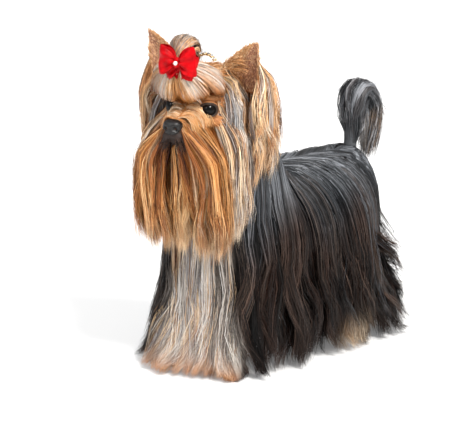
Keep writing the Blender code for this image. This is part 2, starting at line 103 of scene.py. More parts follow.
# Head axes: to its left, to its back and up, from a middle that lies between and behind the eyes
EYE_SET_BACK = 0.0235
LATERAL = (middle("eye_left") - middle("eye_right")).normalized()
HEAD_AXES = np.array([LATERAL, Vector(UP).cross(LATERAL), UP])
HEAD_MIDDLE = np.array((middle("eye_left") + middle("eye_right")) / 2) + HEAD_AXES[1] * EYE_SET_BACK
EYE_PLACE = (0.0190, -0.0250, 0.0015)
EYE_LOOK = (0.42, -0.90, 0.03)
EYE_RADIUS = (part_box("eye_left")[1].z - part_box("eye_left")[0].z) / 2


def in_head(spots):
    """Places given in the head's own axes, as places in the frame."""
    return np.asarray(spots, float) @ HEAD_AXES + HEAD_MIDDLE


def from_head(points):
    return (np.asarray(points, float) - HEAD_MIDDLE) @ HEAD_AXES.T


# Materials

def new_material(name):
    material = bpy.data.materials.new(name)
    material.use_nodes = True
    return material, material.node_tree


def set_inputs(node, values):
    for name, value in values.items():
        node.inputs[name.replace("_", " ")].default_value = value


def add_node(tree, kind, result, sources=(), **values):
    """The result of a new node that takes the sources, given as (input, source), and the values."""
    node = tree.nodes.new("ShaderNode" + kind)
    set_inputs(node, values)
    for name, source in sources:
        tree.links.new(source, node.inputs[name])
    return node.outputs[result]


def noise(tree, scale, detail, stretch=(1, 1, 1)):
    """A noise pattern on the object's own coordinates, stretched along an axis where asked."""
    place = add_node(tree, "TexCoord", "Object")
    place = add_node(tree, "Mapping", "Vector", [("Vector", place)], Scale=stretch)
    return add_node(tree, "TexNoise", "Fac", [("Vector", place)], Scale=scale, Detail=detail)


def ramp(tree, source, *stops):
    """Colours along a value, from (place, colour) stops, where a single number is a grey."""
    node = tree.nodes.new("ShaderNodeValToRGB")
    elements = node.color_ramp.elements
    elements.remove(elements[1])
    for index, (place, colour) in enumerate(stops):
        element = elements.new(place) if index else elements[0]
        element.position = place
        element.color = (*np.broadcast_to(colour, 3), 1)
    tree.links.new(source, node.inputs["Fac"])
    return node.outputs["Color"]


def multiplied(tree, first, second):
    mix = tree.nodes.new("ShaderNodeMix")
    mix.data_type = "RGBA"
    mix.blend_type = "MULTIPLY"
    mix.inputs["Factor"].default_value = 1.0
    tree.links.new(first, mix.inputs["A"])
    tree.links.new(second, mix.inputs["B"])
    return mix.outputs["Result"]


def read_attribute(tree, name, result):
    node = tree.nodes.new("ShaderNodeAttribute")
    node.attribute_name = name
    return node.outputs[result]


def shaded(tree, colour, bump=None, **values):
    """Gives the shader its colour and values, and a bump as (height, strength, distance)."""
    shader = tree.nodes["Principled BSDF"]
    set_inputs(shader, values)
    tree.links.new(colour, shader.inputs["Base Color"])
    if bump:
        height, strength, distance = bump
        normal = add_node(tree, "Bump", "Normal", [("Height", height)], Strength=strength, Distance=distance)
        tree.links.new(normal, shader.inputs["Normal"])
    return shader


def hair_material(name, roughness, specular):
    """Hair that takes its tone from the strands and shimmers a little along and between them."""
    material, tree = new_material(name)
    shade = ramp(tree, noise(tree, 260, 2, (1, 1, 0.25)), (0.25, 0.72), (0.75, 1))
    tone = multiplied(tree, read_attribute(tree, "coat_tone", "Color"), shade)
    shaded(tree, tone, Roughness=roughness, Specular_IOR_Level=specular)
    return material


def skin_material():
    """Skin and the short fur close on it: the coat's own markings, mottled, with a fine hairy bump."""
    material, tree = new_material("terrier_skin")
    mottle = ramp(tree, noise(tree, 900, 4), (0.3, 0.6), (0.7, 1))
    tone = multiplied(tree, read_attribute(tree, "coat_tone", "Color"), mottle)
    shaded(tree, tone, (noise(tree, 2600, 3), 0.5, 0.0004), Roughness=0.62, Specular_IOR_Level=0.35)
    return material


def eye_material():
    """A dark wet eye: black pupil, deep brown iris with fine rays, dark edge, clear gloss over all."""
    material, tree = new_material("eye_wet")
    iris = ramp(tree, read_attribute(tree, "from_pupil", "Fac"), (0.0, 0.001), (0.34, 0.001),
                (0.40, (0.006, 0.002, 0.001)), (0.56, (0.004, 0.002, 0.001)), (0.66, 0.001),
                (0.80, (0.005, 0.003, 0.003)))
    rays = ramp(tree, noise(tree, 1500, 3), (0.35, 0.6), (0.65, 1))
    shaded(tree, multiplied(tree, iris, rays), Roughness=0.5, Specular_IOR_Level=0.05, Coat_Weight=0.22,
           Coat_Roughness=0.02)
    return material


def mottled_material(name, scale, detail, dark, light, stretch=(1, 1, 1), bump=None, **values):
    """A finish that runs from dark to light with the noise, and takes its bump from the function given."""
    material, tree = new_material(name)
    tint = ramp(tree, noise(tree, scale, detail, stretch), dark, light)
    shaded(tree, tint, bump and bump(tree), **values)
    return material


def pebbles(tree):
    place = add_node(tree, "TexCoord", "Object")
    return add_node(tree, "TexVoronoi", "Distance", [("Vector", place)], Scale=1150), 0.45, 0.0005


def weave(tree):
    node = tree.nodes.new("ShaderNodeTexWave")
    node.bands_direction = "Y"
    set_inputs(node, {"Scale": 90, "Distortion": 0.4})
    tree.links.new(add_node(tree, "TexCoord", "UV"), node.inputs["Vector"])
    return node.outputs["Fac"], 0.12, 0.0002


def pearl_material():
    """Milky pearl with a faint pink and green turn of colour."""
    material, tree = new_material("pearl_white")
    tint = ramp(tree, add_node(tree, "LayerWeight", "Facing", Blend=0.35),
                (0.0, (0.74, 0.68, 0.64)), (0.5, (0.74, 0.62, 0.62)), (1.0, (0.60, 0.68, 0.66)))
    shaded(tree, tint, (noise(tree, 1200, 2), 0.05, 0.0001), Roughness=0.18, Metallic=0.15,
           Coat_Weight=0.8, Coat_Roughness=0.05)
    return material


FINISHES = {
    "eye": eye_material(),
    "pearl": pearl_material(),
    "nose": mottled_material("nose_leather_black", 300, 3, (0.3, 0.003), (0.75, (0.012, 0.010, 0.010)),
                             bump=pebbles, Roughness=0.36, Specular_IOR_Level=0.30, Coat_Weight=0.05,
                             Coat_Roughness=0.15),
    "satin": mottled_material("red_satin_weave", 140, 3, (0.3, (0.26, 0.001, 0.003)),
                              (0.7, (0.50, 0.002, 0.005)), bump=weave, Roughness=0.36,
                              Specular_IOR_Level=0.06, Anisotropic=0.4),
    "metal": mottled_material("clip_metal_aged", 600, 3, (0.3, (0.34, 0.25, 0.14)), (0.7, (0.80, 0.64, 0.38)),
                              (1, 6, 6), Roughness=0.24, Metallic=1.0),
    "crystal": mottled_material("crystal_cut", 900, 1, (0.35, (0.10, 0.10, 0.13)), (0.5, (0.92, 0.92, 0.96)),
                                Roughness=0.04, Metallic=0.75, Coat_Weight=1.0, Coat_Roughness=0.02),
    "claw": mottled_material("claw_horn", 500, 3, (0.3, (0.012, 0.010, 0.009)), (0.7, (0.05, 0.04, 0.035)),
                             (1, 1, 0.3), Roughness=0.35),
}
COATS = {f"{name}_coat": hair_material(f"{name}_hair", roughness, specular) for name, roughness, specular in (
    ("steel", 0.32, 0.13), ("black", 0.36, 0.08), ("tan", 0.42, 0.22), ("gold", 0.40, 0.30),
    ("silver", 0.40, 0.35))}


# Pieces and meshes

def declare(piece, slot, *nodes):
    """Joins a finished piece to the frame: it rides on the model, and stands for the solids named."""
    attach(piece, "root")
    if nodes:
        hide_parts(*nodes)
    return piece


def new_object(name, mesh, material):
    mesh.materials.clear()
    mesh.materials.append(material)
    piece = bpy.data.objects.new(name, mesh)
    bpy.context.scene.collection.objects.link(piece)
    return piece


def mesh_of(name, shapes):
    """One mesh of several (points, faces) shapes."""
    mesh = bpy.data.meshes.new(name)
    points, faces = [], []
    for shape_points, shape_faces in shapes:
        base = sum(map(len, points))
        points.append(np.asarray(shape_points, float).reshape(-1, 3))
        faces += [[base + i for i in face] for face in shape_faces]
    mesh.from_pydata(np.vstack(points).tolist(), [], faces)
    return mesh


def outward_faces(mesh):
    shape = bmesh.new()
    shape.from_mesh(mesh)
    bmesh.ops.recalc_face_normals(shape, faces=shape.faces)
    shape.to_mesh(mesh)
    shape.free()
    mesh.shade_smooth()
    return mesh


def round_piece(name, shapes, finish, slot, *nodes):
    """A declared piece of closed shapes, each given as rings."""
    mesh = outward_faces(mesh_of(name, [closed_rings(rings) for rings in shapes]))
    return declare(new_object(name, mesh, FINISHES[finish]), slot, *nodes)


def quads(rows, columns, round_rows=False, round_columns=True):
    """Faces between the points of a grid, which may close on itself in either direction."""
    faces = []
    for row in range(rows if round_rows else rows - 1):
        below = (row + 1) % rows * columns
        for column in range(columns if round_columns else columns - 1):
            after = (column + 1) % columns
            faces.append((row * columns + column, row * columns + after, below + after, below + column))
    return faces


def closed_rings(rings):
    """Rings of points joined side by side, with both ends closed to a middle point."""
    rings = np.asarray(rings, float)
    count, sides = rings.shape[:2]
    points = np.vstack([rings.reshape(-1, 3), rings[0].mean(0), rings[-1].mean(0)])
    faces = quads(count, sides)
    for side in range(sides):
        after = (side + 1) % sides
        faces.append((count * sides, after, side))
        faces.append((count * sides + 1, (count - 1) * sides + side, (count - 1) * sides + after))
    return points, faces


def circle(count):
    angles = np.linspace(0, TURN, count, endpoint=False)
    return np.cos(angles), np.sin(angles)


def ball_rings(rings, sides):
    """Rings of a ball of radius 1, from its underside to its top."""
    cosine, sine = circle(sides)
    angles = np.linspace(-math.pi / 2, math.pi / 2, rings + 2)[1:-1]
    return [xyz(cosine * math.cos(angle), sine * math.cos(angle), math.sin(angle)) for angle in angles]


def ball(centre, half_sizes, rings=20, sides=28):
    return np.array(ball_rings(rings, sides)) * half_sizes + centre


def tube(rows, sides=24):
    """Rings round (place, radius) rows whose path doesn't run sideways."""
    path, radii = rows[:, :3], rows[:, 3, None, None]
    along = unit(np.gradient(path, axis=0))
    across = unit(np.array((1.0, 0, 0)) - along * along[:, :1])
    other = np.cross(along, across)
    cosine, sine = circle(sides)
    return path[:, None] + radii * (across[:, None] * cosine[:, None] + other[:, None] * sine[:, None])


# Skin

SPINE_X = middle("tail").x
NECK_FOOT = np.array((SPINE_X, -0.055, 0.0))
SKIN_VOXEL = 0.0017
FEET = [np.array(middle(f"paw_{place}_{side}")) for place in ("front", "hind") for side, _ in SIDES]


def mirrored(place, sign):
    return np.array(place) * (sign, 1, 1)


def trunk_rings():
    """The bare trunk, from the base of the neck to the rump: (along, half width, belly, back)."""
    rows = spline([
        (-0.092, 0.016, 0.150, 0.188), (-0.080, 0.031, 0.118, 0.203), (-0.050, 0.039, 0.104, 0.2075),
        (0.000, 0.041, 0.106, 0.2075), (0.045, 0.037, 0.118, 0.2075), (0.080, 0.036, 0.122, 0.2065),
        (0.104, 0.028, 0.128, 0.200), (0.117, 0.014, 0.146, 0.186)], 6)
    cosine, sine = circle(36)
    return [xyz(SPINE_X + cosine * half, along, (belly + back) / 2 + sine * (back - belly) / 2)
            for along, half, belly, back in rows]


def leg_tubes():
    """Legs from inside the trunk down to the paws: (how far out, ahead of the paw, height, radius)."""
    front = ((0.60, 0.022, 0.150, 0.021), (0.85, 0.030, 0.105, 0.014), (0.95, 0.012, 0.060, 0.0095),
             (1, 0, 0.012, 0.009))
    hind = ((0.62, -0.018, 0.150, 0.026), (0.80, -0.034, 0.100, 0.018), (0.95, 0.018, 0.048, 0.0095),
            (1, 0, 0.012, 0.009))
    return [tube(spline([(SPINE_X + (foot[0] - SPINE_X) * out, foot[1] + ahead, height, radius)
                         for out, ahead, height, radius in bends], 8), 20)
            for foot, bends in zip(FEET, (front, front, hind, hind))]


def toe_places(foot, ahead, height):
    return [np.array((foot[0] + toe * 0.0055, foot[1] - ahead + abs(toe) * 0.0028, height))
            for toe in (-1.5, -0.5, 0.5, 1.5)]


def paw_balls():
    """Toed paws that stand on the floor: a pad, and four toes in front of it."""
    shapes = []
    for foot in FEET:
        shapes.append(ball((foot[0], foot[1] + 0.002, 0.0075), (0.0105, 0.012, 0.0085)))
        shapes += [ball(toe, (0.0036, 0.0062, 0.0056), 12, 16) for toe in toe_places(foot, 0.0105, 0.0052)]
    return shapes


def head_shapes():
    """Skull and muzzle in one, from (back, up, half width, half height), with jaw, brows, cheeks and lips."""
    rows = spline([
        (0.043, 0.003, 0.008, 0.010), (0.036, 0.005, 0.021, 0.022), (0.020, 0.007, 0.0305, 0.030),
        (0.002, 0.007, 0.0335, 0.0325), (-0.012, 0.004, 0.031, 0.030), (-0.0215, -0.001, 0.0235, 0.0245),
        (-0.029, -0.0075, 0.016, 0.0175), (-0.038, -0.012, 0.013, 0.013), (-0.050, -0.014, 0.0115, 0.011),
        (-0.060, -0.0145, 0.010, 0.0098), (-0.066, -0.015, 0.006, 0.006)], 5)
    cosine, sine = circle(36)
    shapes = [[in_head(xyz(cosine * half, back, up + sine * high)) for back, up, half, high in rows],
              in_head(ball((0, -0.042, -0.0255), (0.0088, 0.020, 0.0056)))]
    for _, sign in SIDES:
        for place, half_sizes in (((0.0170, -0.0215, 0.0125), (0.0105, 0.0080, 0.0055)),
                                  ((0.0235, -0.0150, -0.0120), (0.0105, 0.0135, 0.0095)),
                                  ((0.0062, -0.0585, -0.0205), (0.0062, 0.0085, 0.0060))):
            shapes.append(in_head(ball(mirrored(place, sign), half_sizes)))
    return shapes


EAR_BASE = (0.0335, 0.004, 0.018)
EAR_TIP = {"left": (0.0549, 0.008, 0.0640), "right": (-0.0672, 0.008, 0.0680)}


def ear_half(across, up):
    """The ear's width from its middle line: its outer edge is straight, its inner one bowed."""
    left = np.maximum(1 - up, 0)
    return np.where(across > 0, 0.0270 * left, np.minimum(0.0345 * np.sqrt(left), 0.0150 + 0.0215 * up))


def ear_points(side, sign, across, up):
    """Places on the middle of an ear's thin leaf: across from -1 inside to 1 outside, up from 0 to 1."""
    across, up = np.broadcast_arrays(across, up)
    base = mirrored(EAR_BASE, sign)
    spots = base + (EAR_TIP[side] - base) * up[..., None]
    half = ear_half(across, up)
    spots[..., 0] += sign * across * half * 0.97
    spots[..., 1] += 0.0095 * (1 - up) * (1 - across**2) - np.abs(across) ** 3 * half * 0.16
    return spots


def ear_rings(side, sign):
    """A closed thin leaf, cupped forwards, thickest at its root."""
    line = np.concatenate([np.linspace(-1, 1, 18), np.linspace(1, -1, 18)])
    rings = []
    for up in np.linspace(-0.10, 0.985, 26):
        ring = ear_points(side, sign, line, up)
        thick = 0.0011 + 0.0012 * (1 - up)
        ring[:, 1] += np.repeat([-1.0, 1.0], 18) * thick * np.sqrt(np.maximum(1 - line**2, 0) + 0.40)
        rings.append(in_head(ring))
    return rings


def ear_inside(spots):
    """1 on the hollow of either ear, fading to 0 at its rim and on its back."""
    inside = np.zeros(len(spots))
    for side, sign in SIDES:
        base = mirrored(EAR_BASE, sign)
        rise = EAR_TIP[side] - base
        up = np.clip((spots[:, 2] - base[2]) / rise[2], 0, 0.99)
        gap = (spots[:, 0] - base[0] - rise[0] * up) * sign
        across = gap / ear_half(gap, up)
        leaf = ear_points(side, sign, np.clip(across, -1, 1), up)
        here = ease(0.95, 0.75, across) * ease(-0.50, -0.15, across) * ease(0.012, 0.020, spots[:, 2])
        here = here * ease(0.0002, -0.0010, spots[:, 1] - leaf[:, 1])
        inside = np.maximum(inside, here * (spots[:, 0] * sign > 0.012))
    return inside


def eye_frame(sign):
    """An eye's middle, and its ways forward, across and above, in the head's axes."""
    forward = unit(mirrored(EYE_LOOK, sign))
    across = unit(np.cross(UP, forward))
    return mirrored(EYE_PLACE, sign), forward, across, np.cross(forward, across)


def eye_ring(sign, angle, radius):
    """A ring of 56 places on an eyeball, at an angle from its look that may change round the ring."""
    centre, forward, across, above = eye_frame(sign)
    cosine, sine = circle(56)
    angle = np.broadcast_to(angle, 56)[:, None]
    ring = (across * cosine[:, None] + above * sine[:, None]) * np.sin(angle) + forward * np.cos(angle)
    return in_head(centre + ring * radius)


LID_ROWS = ((-5, -0.0008), (-1, 0.0003), (2, 0.0010), (7, 0.0014), (14, 0.0014), (24, 0.0009), (38, 0.0002),
            (52, -0.0010), (40, -0.0016), (20, -0.0014), (6, -0.0012))


def lid_shape(sign):
    """A lid that rings the eyeball with an almond opening, thick and rounded at its rim."""
    turn = np.linspace(0, TURN, 56, endpoint=False)
    opening = np.radians(52 + 10 * np.cos(2 * turn) - 3 * np.sin(turn))
    grid = [eye_ring(sign, opening + math.radians(spread), EYE_RADIUS + rise) for spread, rise in LID_ROWS]
    return grid, quads(len(grid), 56, True)


def near_eyes(spots):
    """Distance in the head's axes to the nearer eyeball, 0 on it."""
    gaps = [np.linalg.norm(spots - mirrored(EYE_PLACE, sign), axis=-1) for _, sign in SIDES]
    return np.maximum(np.minimum(*gaps) - EYE_RADIUS, 0)


def eye_rim(spots):
    """1 on the dark edge of either eye's lids, fading to 0 a little way past it."""
    rim = np.zeros(spots.shape[:-1])
    for _, sign in SIDES:
        centre, forward, across, above = eye_frame(sign)
        way = unit(spots - centre)
        sideways, upward = way @ across, way @ above
        opening = 52 + 10 * (sideways**2 - upward**2) / (sideways**2 + upward**2 + 1e-9)
        past = np.degrees(np.arccos(np.clip(way @ forward, -1, 1))) - opening
        rim = np.maximum(rim, ease(12, 5, past))
    return rim * ease(0.0035, 0.0025, near_eyes(spots))


def blended(*parts):
    """Tone triples mixed by weight: each part is (tone name, weight), and later ones cover earlier ones."""
    result = np.zeros((3, 3))
    for name, weight in parts:
        weight = np.asarray(weight)[..., None, None]
        result = result * (1 - weight) + TONES[name] * weight
    return result


CHEST_MIDDLE_Y = -0.072
CHEST_TURN = math.radians(18)
CHEST_HALF_TURN = math.radians(38)
TAN_FOOT_HEIGHT = 0.018


def chest_share(points):
    """How far places in the frame belong to the pale chest, from 0 to 1."""
    x, y, z = np.moveaxis(points, -1, 0)
    turn = np.arctan2(x - SPINE_X, CHEST_MIDDLE_Y - y) - CHEST_TURN
    wander = 0.10 * np.sin(70 * z + 30 * x) + 0.06 * np.sin(190 * x + 90 * z)
    half = CHEST_HALF_TURN + 0.16 * ease(0.080, 0.020, z)
    edge = ease(0.12, -0.10, np.abs(turn) + wander - half)
    return edge * ease(0.012, 0.030, np.hypot(x - SPINE_X, y - CHEST_MIDDLE_Y))


def markings(points):
    """The coat's markings at places in the frame: steel back, cream chest, dark sides, tan head and feet,
    and a painted sheen: lighter slate high on the flanks, where the light falls.
    """
    spots = from_head(points)
    _, y, z = np.moveaxis(points, -1, 0)
    side, back, up = np.moveaxis(spots, -1, 0)
    far = np.linalg.norm(spots, axis=-1)
    chest = chest_share(points)
    low = ease(0.188, 0.122, z + 0.020 * np.sin(60 * y))
    # Painted sheen: a band of lighter slate along the upper flanks, standing in for the light's gloss there
    painted_sheen = bell(z - 0.204 - 0.010 * np.sin(45 * y), 0.025) * ease(-0.08, -0.04, y)
    front_foot = ease(TAN_FOOT_HEIGHT, 0.005, z) * chest
    hind_foot = ease(0.046, 0.014, z) * ease(0.026, 0.045, y) * ease(0.096, 0.072, y)
    ears = ease(0.026, 0.036, up) * ease(0.095, 0.07, np.abs(side))
    head = np.maximum(ease(0.064, 0.046, np.linalg.norm(spots * (1, 0.8, 0.85), axis=-1)), ears)
    muzzle = ease(-0.020, -0.034, back) * ease(0.10, 0.05, far)
    # Dark round the mouth: partly the dark lip hair, partly painted shade under the nose
    mouth = ease(-0.034, -0.046, back) * ease(-0.006, -0.014, up) * ease(0.10, 0.08, far)
    socket = ease(0.012, 0.004, near_eyes(spots)) * ease(0, -0.012, back)
    body = (("steel", 1.0), ("slate", painted_sheen * 0.92), ("black", low * 0.92), ("rust", low * 0.07),
            ("silver", chest), ("tan", front_foot), ("cream", hind_foot * 0.8))
    face = (("tan", head), ("gold", muzzle * 0.6), ("gold", ears * 0.7), ("cream", ears * 0.2),
            ("gold", socket * 0.5), ("blush", socket * 0.2), ("rust", mouth), ("black", mouth * 0.9))
    return blended(*body, *face, ("black", eye_rim(spots) * 0.95))


def paint(mesh, colours):
    """Stores a colour for each vertex."""
    layer = mesh.attributes.new("coat_tone", "FLOAT_COLOR", "POINT")
    rows = np.ones((len(mesh.vertices), 4), np.float32)
    rows[:, :3] = colours
    layer.data.foreach_set("color", rows.ravel())


def mesh_points(mesh):
    flat = np.empty(len(mesh.vertices) * 3, np.float32)
    mesh.vertices.foreach_get("co", flat)
    return flat.reshape(-1, 3).astype(float)


def applied(piece):
    """Replaces the piece's mesh with what its modifiers make of it."""
    graph = bpy.context.evaluated_depsgraph_get()
    graph.update()
    mesh = bpy.data.meshes.new_from_object(piece.evaluated_get(graph))
    piece.modifiers.clear()
    piece.data = mesh
    return mesh


def make_skin():
    """All flesh in one closed skin, inside the solids by the depth of the coat."""
    neck = spline([(SPINE_X, -0.035, 0.145, 0.040), (SPINE_X, -0.060, 0.185, 0.037),
                   (SPINE_X + 0.001, -0.074, 0.225, 0.031), (SPINE_X + 0.003, -0.082, 0.265, 0.028)], 6)
    tail = spline([(SPINE_X, 0.100, 0.180, 0.011), (SPINE_X, 0.111, 0.205, 0.0075),
                   (SPINE_X, 0.110, 0.235, 0.0055), (SPINE_X, 0.112, 0.262, 0.0032)], 6)
    shapes = [trunk_rings(), tube(neck), tube(tail, 16), *leg_tubes(), *paw_balls(), *head_shapes()]
    shapes += [ear_rings(*side) for side in SIDES]
    mesh = mesh_of("skin", [closed_rings(rings) for rings in shapes])
    skin = new_object("skin", outward_faces(mesh), skin_material())
    remesh = skin.modifiers.new("joined", "REMESH")
    remesh.mode = "VOXEL"
    remesh.voxel_size = SKIN_VOXEL
    smooth = skin.modifiers.new("softened", "SMOOTH")
    smooth.factor = 0.5
    smooth.iterations = 3
    mesh = applied(skin)
    points = mesh_points(mesh)
    points[:, 2] = np.maximum(points[:, 2], 0)
    mesh.vertices.foreach_set("co", points.astype(np.float32).ravel())
    both = bmesh.new()
    both.from_mesh(mesh)
    both.from_mesh(outward_faces(mesh_of("lids", [lid_shape(sign) for _, sign in SIDES])))
    both.to_mesh(mesh)
    both.free()
    mesh.shade_smooth()
    points = mesh_points(mesh)
    tones = markings(points)
    inner = ear_inside(from_head(points))[:, None]
    dusky = TONES["blush"][0] * 0.6 + TONES["blush"][1] * 0.25
    paint(mesh, (tones[:, 1] * 0.75 + tones[:, 0] * 0.25) * (1 - inner) + dusky * inner)
    legs = [f"{part}_{place}_{side}" for part in ("leg", "paw") for place in ("front", "hind")
            for side, _ in SIDES]
    return declare(skin, "tan_coat", "head", "muzzle", "ear_left", "ear_right", "neck", "trunk", "tail",
                   *legs)


def tree_of(*meshes):
    """The faces of the meshes together, for finding the nearest place and for casting rays."""
    points, faces = [], []
    for mesh in meshes:
        faces += [[len(points) + i for i in face.vertices] for face in mesh.polygons]
        points += mesh_points(mesh).tolist()
    return BVHTree.FromPolygons(points, faces)


def solid_tree(*names):
    return tree_of(*(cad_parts[name].data for name in names))


def snapped(points, tree):
    """Nearest places on the skin."""
    return np.array([tree.find_nearest(point)[0] for point in points.tolist()])


# Strands

BAKE_PATCH = 0.003
FLOOR_GAP = 0.0006
HEAD_STRAND = 0.00044
TOP_STRAND = 0.00042
FACE_STRAND = 0.00038
TAIL_STRAND = 0.00046


def strand_mesh(name, rng, paths, outward, width, colours, patch, roll):
    """Flat tapering strands along paths, each turned about its own line by a random roll, as one mesh.
    Each strand's bake patch lies at its root's place on the unwrapped skin."""
    count, steps = paths.shape[:2]
    along = unit(np.gradient(paths, axis=1))
    side = unit(np.cross(along, outward))
    angle = rng.normal(0, roll, count)[:, None, None]
    edge = side * np.cos(angle) + np.cross(side, along) * np.sin(angle)
    t = np.linspace(0, 1, steps)
    shape = (0.7 + 0.3 * ease(0, 0.2, t)) * (1 - 0.75 * ease(0.84, 1, t))
    edge = edge * (width[:, None] * shape / 2)[..., None]
    each = 2 * (steps - 1) + 1
    points = np.empty((count, each, 3), np.float32)
    points[:, 0:-1:2] = (paths - edge)[:, :-1]
    points[:, 1:-1:2] = (paths + edge)[:, :-1]
    points[:, -1] = paths[:, -1]
    step = np.append(np.repeat(np.arange(steps - 1), 2), steps - 1)
    sideways = np.append(np.tile([-0.5, 0.5], steps - 1), 0)
    flat = np.clip(patch, 0.002, 0.998)[:, None] + np.stack([sideways, t[step] - 0.5], 1) * BAKE_PATCH
    corners = [2 * k + place for k in range(steps - 2) for place in (0, 1, 3, 2)]
    corners = np.array(corners + [each - 3, each - 2, each - 1])
    corners = (corners + np.arange(count)[:, None] * each).ravel()
    starts = (np.arange(steps - 1) * 4 + np.arange(count)[:, None] * (4 * (steps - 2) + 3)).ravel()
    mesh = bpy.data.meshes.new(name)
    mesh.vertices.add(count * each)
    mesh.vertices.foreach_set("co", points.ravel())
    mesh.loops.add(len(corners))
    mesh.loops.foreach_set("vertex_index", corners.astype(np.int32))
    mesh.polygons.add(len(starts))
    mesh.polygons.foreach_set("loop_start", starts.astype(np.int32))
    mesh.update(calc_edges=True)
    mesh.shade_smooth()
    paint(mesh, colours[:, step].reshape(-1, 3))
    bake = mesh.uv_layers.new(name="OFBake")
    bake.uv.foreach_set("vector", flat.astype(np.float32).reshape(-1, 2)[corners].ravel())
    return mesh


def joined_coat(name, rng, parts, slot, *nodes, roll=0.45):
    """One declared coat piece of several sets of strands that have the same number of points."""
    stacked = [np.concatenate(columns) for columns in zip(*parts)]
    mesh = strand_mesh(name, rng, *stacked, roll)
    return declare(new_object(name, mesh, COATS[slot]), slot, *nodes)


class Gathered:
    """Strands gathered in locks, and locks in clumps, with the random numbers drawn for them in columns."""

    def __init__(self, rng, clumps, locks, each):
        self.rng = rng
        self.clump = np.repeat(np.arange(clumps), locks * each)
        self.lock = np.repeat(np.arange(clumps * locks), each)
        self.count = len(self.lock)

    def by_clump(self, low, high):
        """One random number for each clump, given to each of its strands."""
        return self.rng.uniform(low, high, self.clump[-1] + 1)[self.clump, None]

    def by_lock(self, low, high):
        return self.rng.uniform(low, high, self.lock[-1] + 1)[self.lock, None]

    def strayed(self, of_clump, of_lock, of_strand):
        """Sums of random numbers for clump, lock and strand, each spread by the amount given."""
        total = 0
        strand = np.arange(self.count)
        for owner, spread in ((self.clump, of_clump), (self.lock, of_lock), (strand, of_strand)):
            if spread:
                total = total + self.rng.normal(0, spread, owner[-1] + 1)[owner, None]
        return total

    def drawn_in(self, t, spread, clump_grip=0.65):
        """How far each strand lies to one side of its clump's middle. It closes on its lock's line, and
        the locks close on the clump's, towards their tips."""
        close = ease(0.25, 1.0, t)
        of_lock = self.strayed(0, spread, 0) * (1 - clump_grip * close)
        of_strand = self.strayed(0, 0, spread * 0.45)
        return of_lock + of_strand * (1 - self.by_lock(0.80, 0.98) * close)

    def shades(self, tones, light, spread, tip):
        """Colours along each strand, from its dark to its light tone, each a little different."""
        level = light + self.strayed(spread, spread, spread * 0.75)
        level = level + tip * (np.linspace(0, 1, tones.shape[-3]) - 0.4)
        level = np.clip(level, 0, 1)[..., None] * 2
        dark, mid, bright = np.moveaxis(tones, -2, 0)
        return dark + (mid - dark) * np.clip(level, 0, 1) + (bright - mid) * np.clip(level - 1, 0, 1)

    def with_families(self, tones, weight, families):
        """Gives whole locks a tone of their own: each family is a tone and its share of the locks."""
        pick = self.rng.random(self.lock[-1] + 1)[self.lock]
        tones = np.array(np.broadcast_to(tones, (self.count, *tones.shape[-3:])))
        weight = np.broadcast_to(weight, tones.shape[:2])[..., None, None]
        start = 0.0
        for name, share in families.items():
            chosen = (pick >= start) & (pick < start + share)
            tones[chosen] += (TONES[name] - tones[chosen]) * weight[chosen]
            start += share
        return tones

    def frizzed(self, paths, amount):
        """Adds a slow stray bend to each strand, growing to its tip."""
        t = np.linspace(0, 1, paths.shape[1])[None, :, None]
        stray = np.zeros_like(paths)
        for turns in (0.6, 1.4, 2.6):
            phase = self.rng.uniform(0, TURN, (len(paths), 1, 3))
            bend = np.sin(TURN * turns * t + phase) - np.sin(phase)
            stray += self.rng.normal(0, 1, (len(paths), 1, 3)) / turns * bend
        paths = paths + stray * amount * t
        paths[..., 2] = np.maximum(paths[..., 2], FLOOR_GAP)
        return paths

    def widths(self, width, most=1.4):
        return width * self.rng.uniform(0.7, most, self.count)


def settled(target, roots, share):
    """Paths that start at their roots and ease onto the target paths over a share of their length."""
    t = np.linspace(0, 1, target.shape[1]) ** 1.3
    fade = (1 - ease(0, share, t))[None, :, None]
    return target + (roots - target[:, 0])[:, None] * fade


def round_patch(spots, tall, base):
    """Places on the unwrapped skin for places in the head's axes."""
    return xyz(np.arctan2(spots[:, 0], -spots[:, 1]) / TURN + 0.5, spots[:, 2] / tall + base)


# Drape: the outline of the body's coat, read from the solids as level lines all round

DRAPE_NODES = ("trunk", "neck", *(f"{part}_{side}" for part in ("skirt", "leg_front", "leg_hind")
                                  for side, _ in SIDES))
STATIONS = 200
LEVELS = 56
RAYS = 90
FAN_FRONT = -0.072
FAN_REAR = 0.086
ARC_SHARE = 0.25
DEEPEST_COAT = 0.017
HEM_REACH = 0.002
HEM_HEIGHT = 0.004
HEM_RUN = 0.25
LONGEST_HEM = 0.035
HEM_POINTS = 84
HEM_SEED = 5
MOST_DRIFT = 0.23
RAY_SHIFTS = (0, 0.0013, -0.0013, 0.006, -0.006, 0.012, -0.012)


def plan(turn):
    """Where a station starts on the spine's line and which way it looks: turn 0 is the chest, 0.5 the left
    flank, 1 the rump and 1.5 the right flank."""
    sign, share = (1, turn) if turn < 1 else (-1, 2 - turn)
    run = np.clip((share - ARC_SHARE) / (1 - 2 * ARC_SHARE), 0, 1)
    arc = min(share / ARC_SHARE, 1) + max((share - 1 + ARC_SHARE) / ARC_SHARE, 0)
    angle = arc * math.pi / 2
    start = Vector((SPINE_X, FAN_FRONT + (FAN_REAR - FAN_FRONT) * run, 0))
    return start, Vector((sign * math.sin(angle), -math.cos(angle), 0))


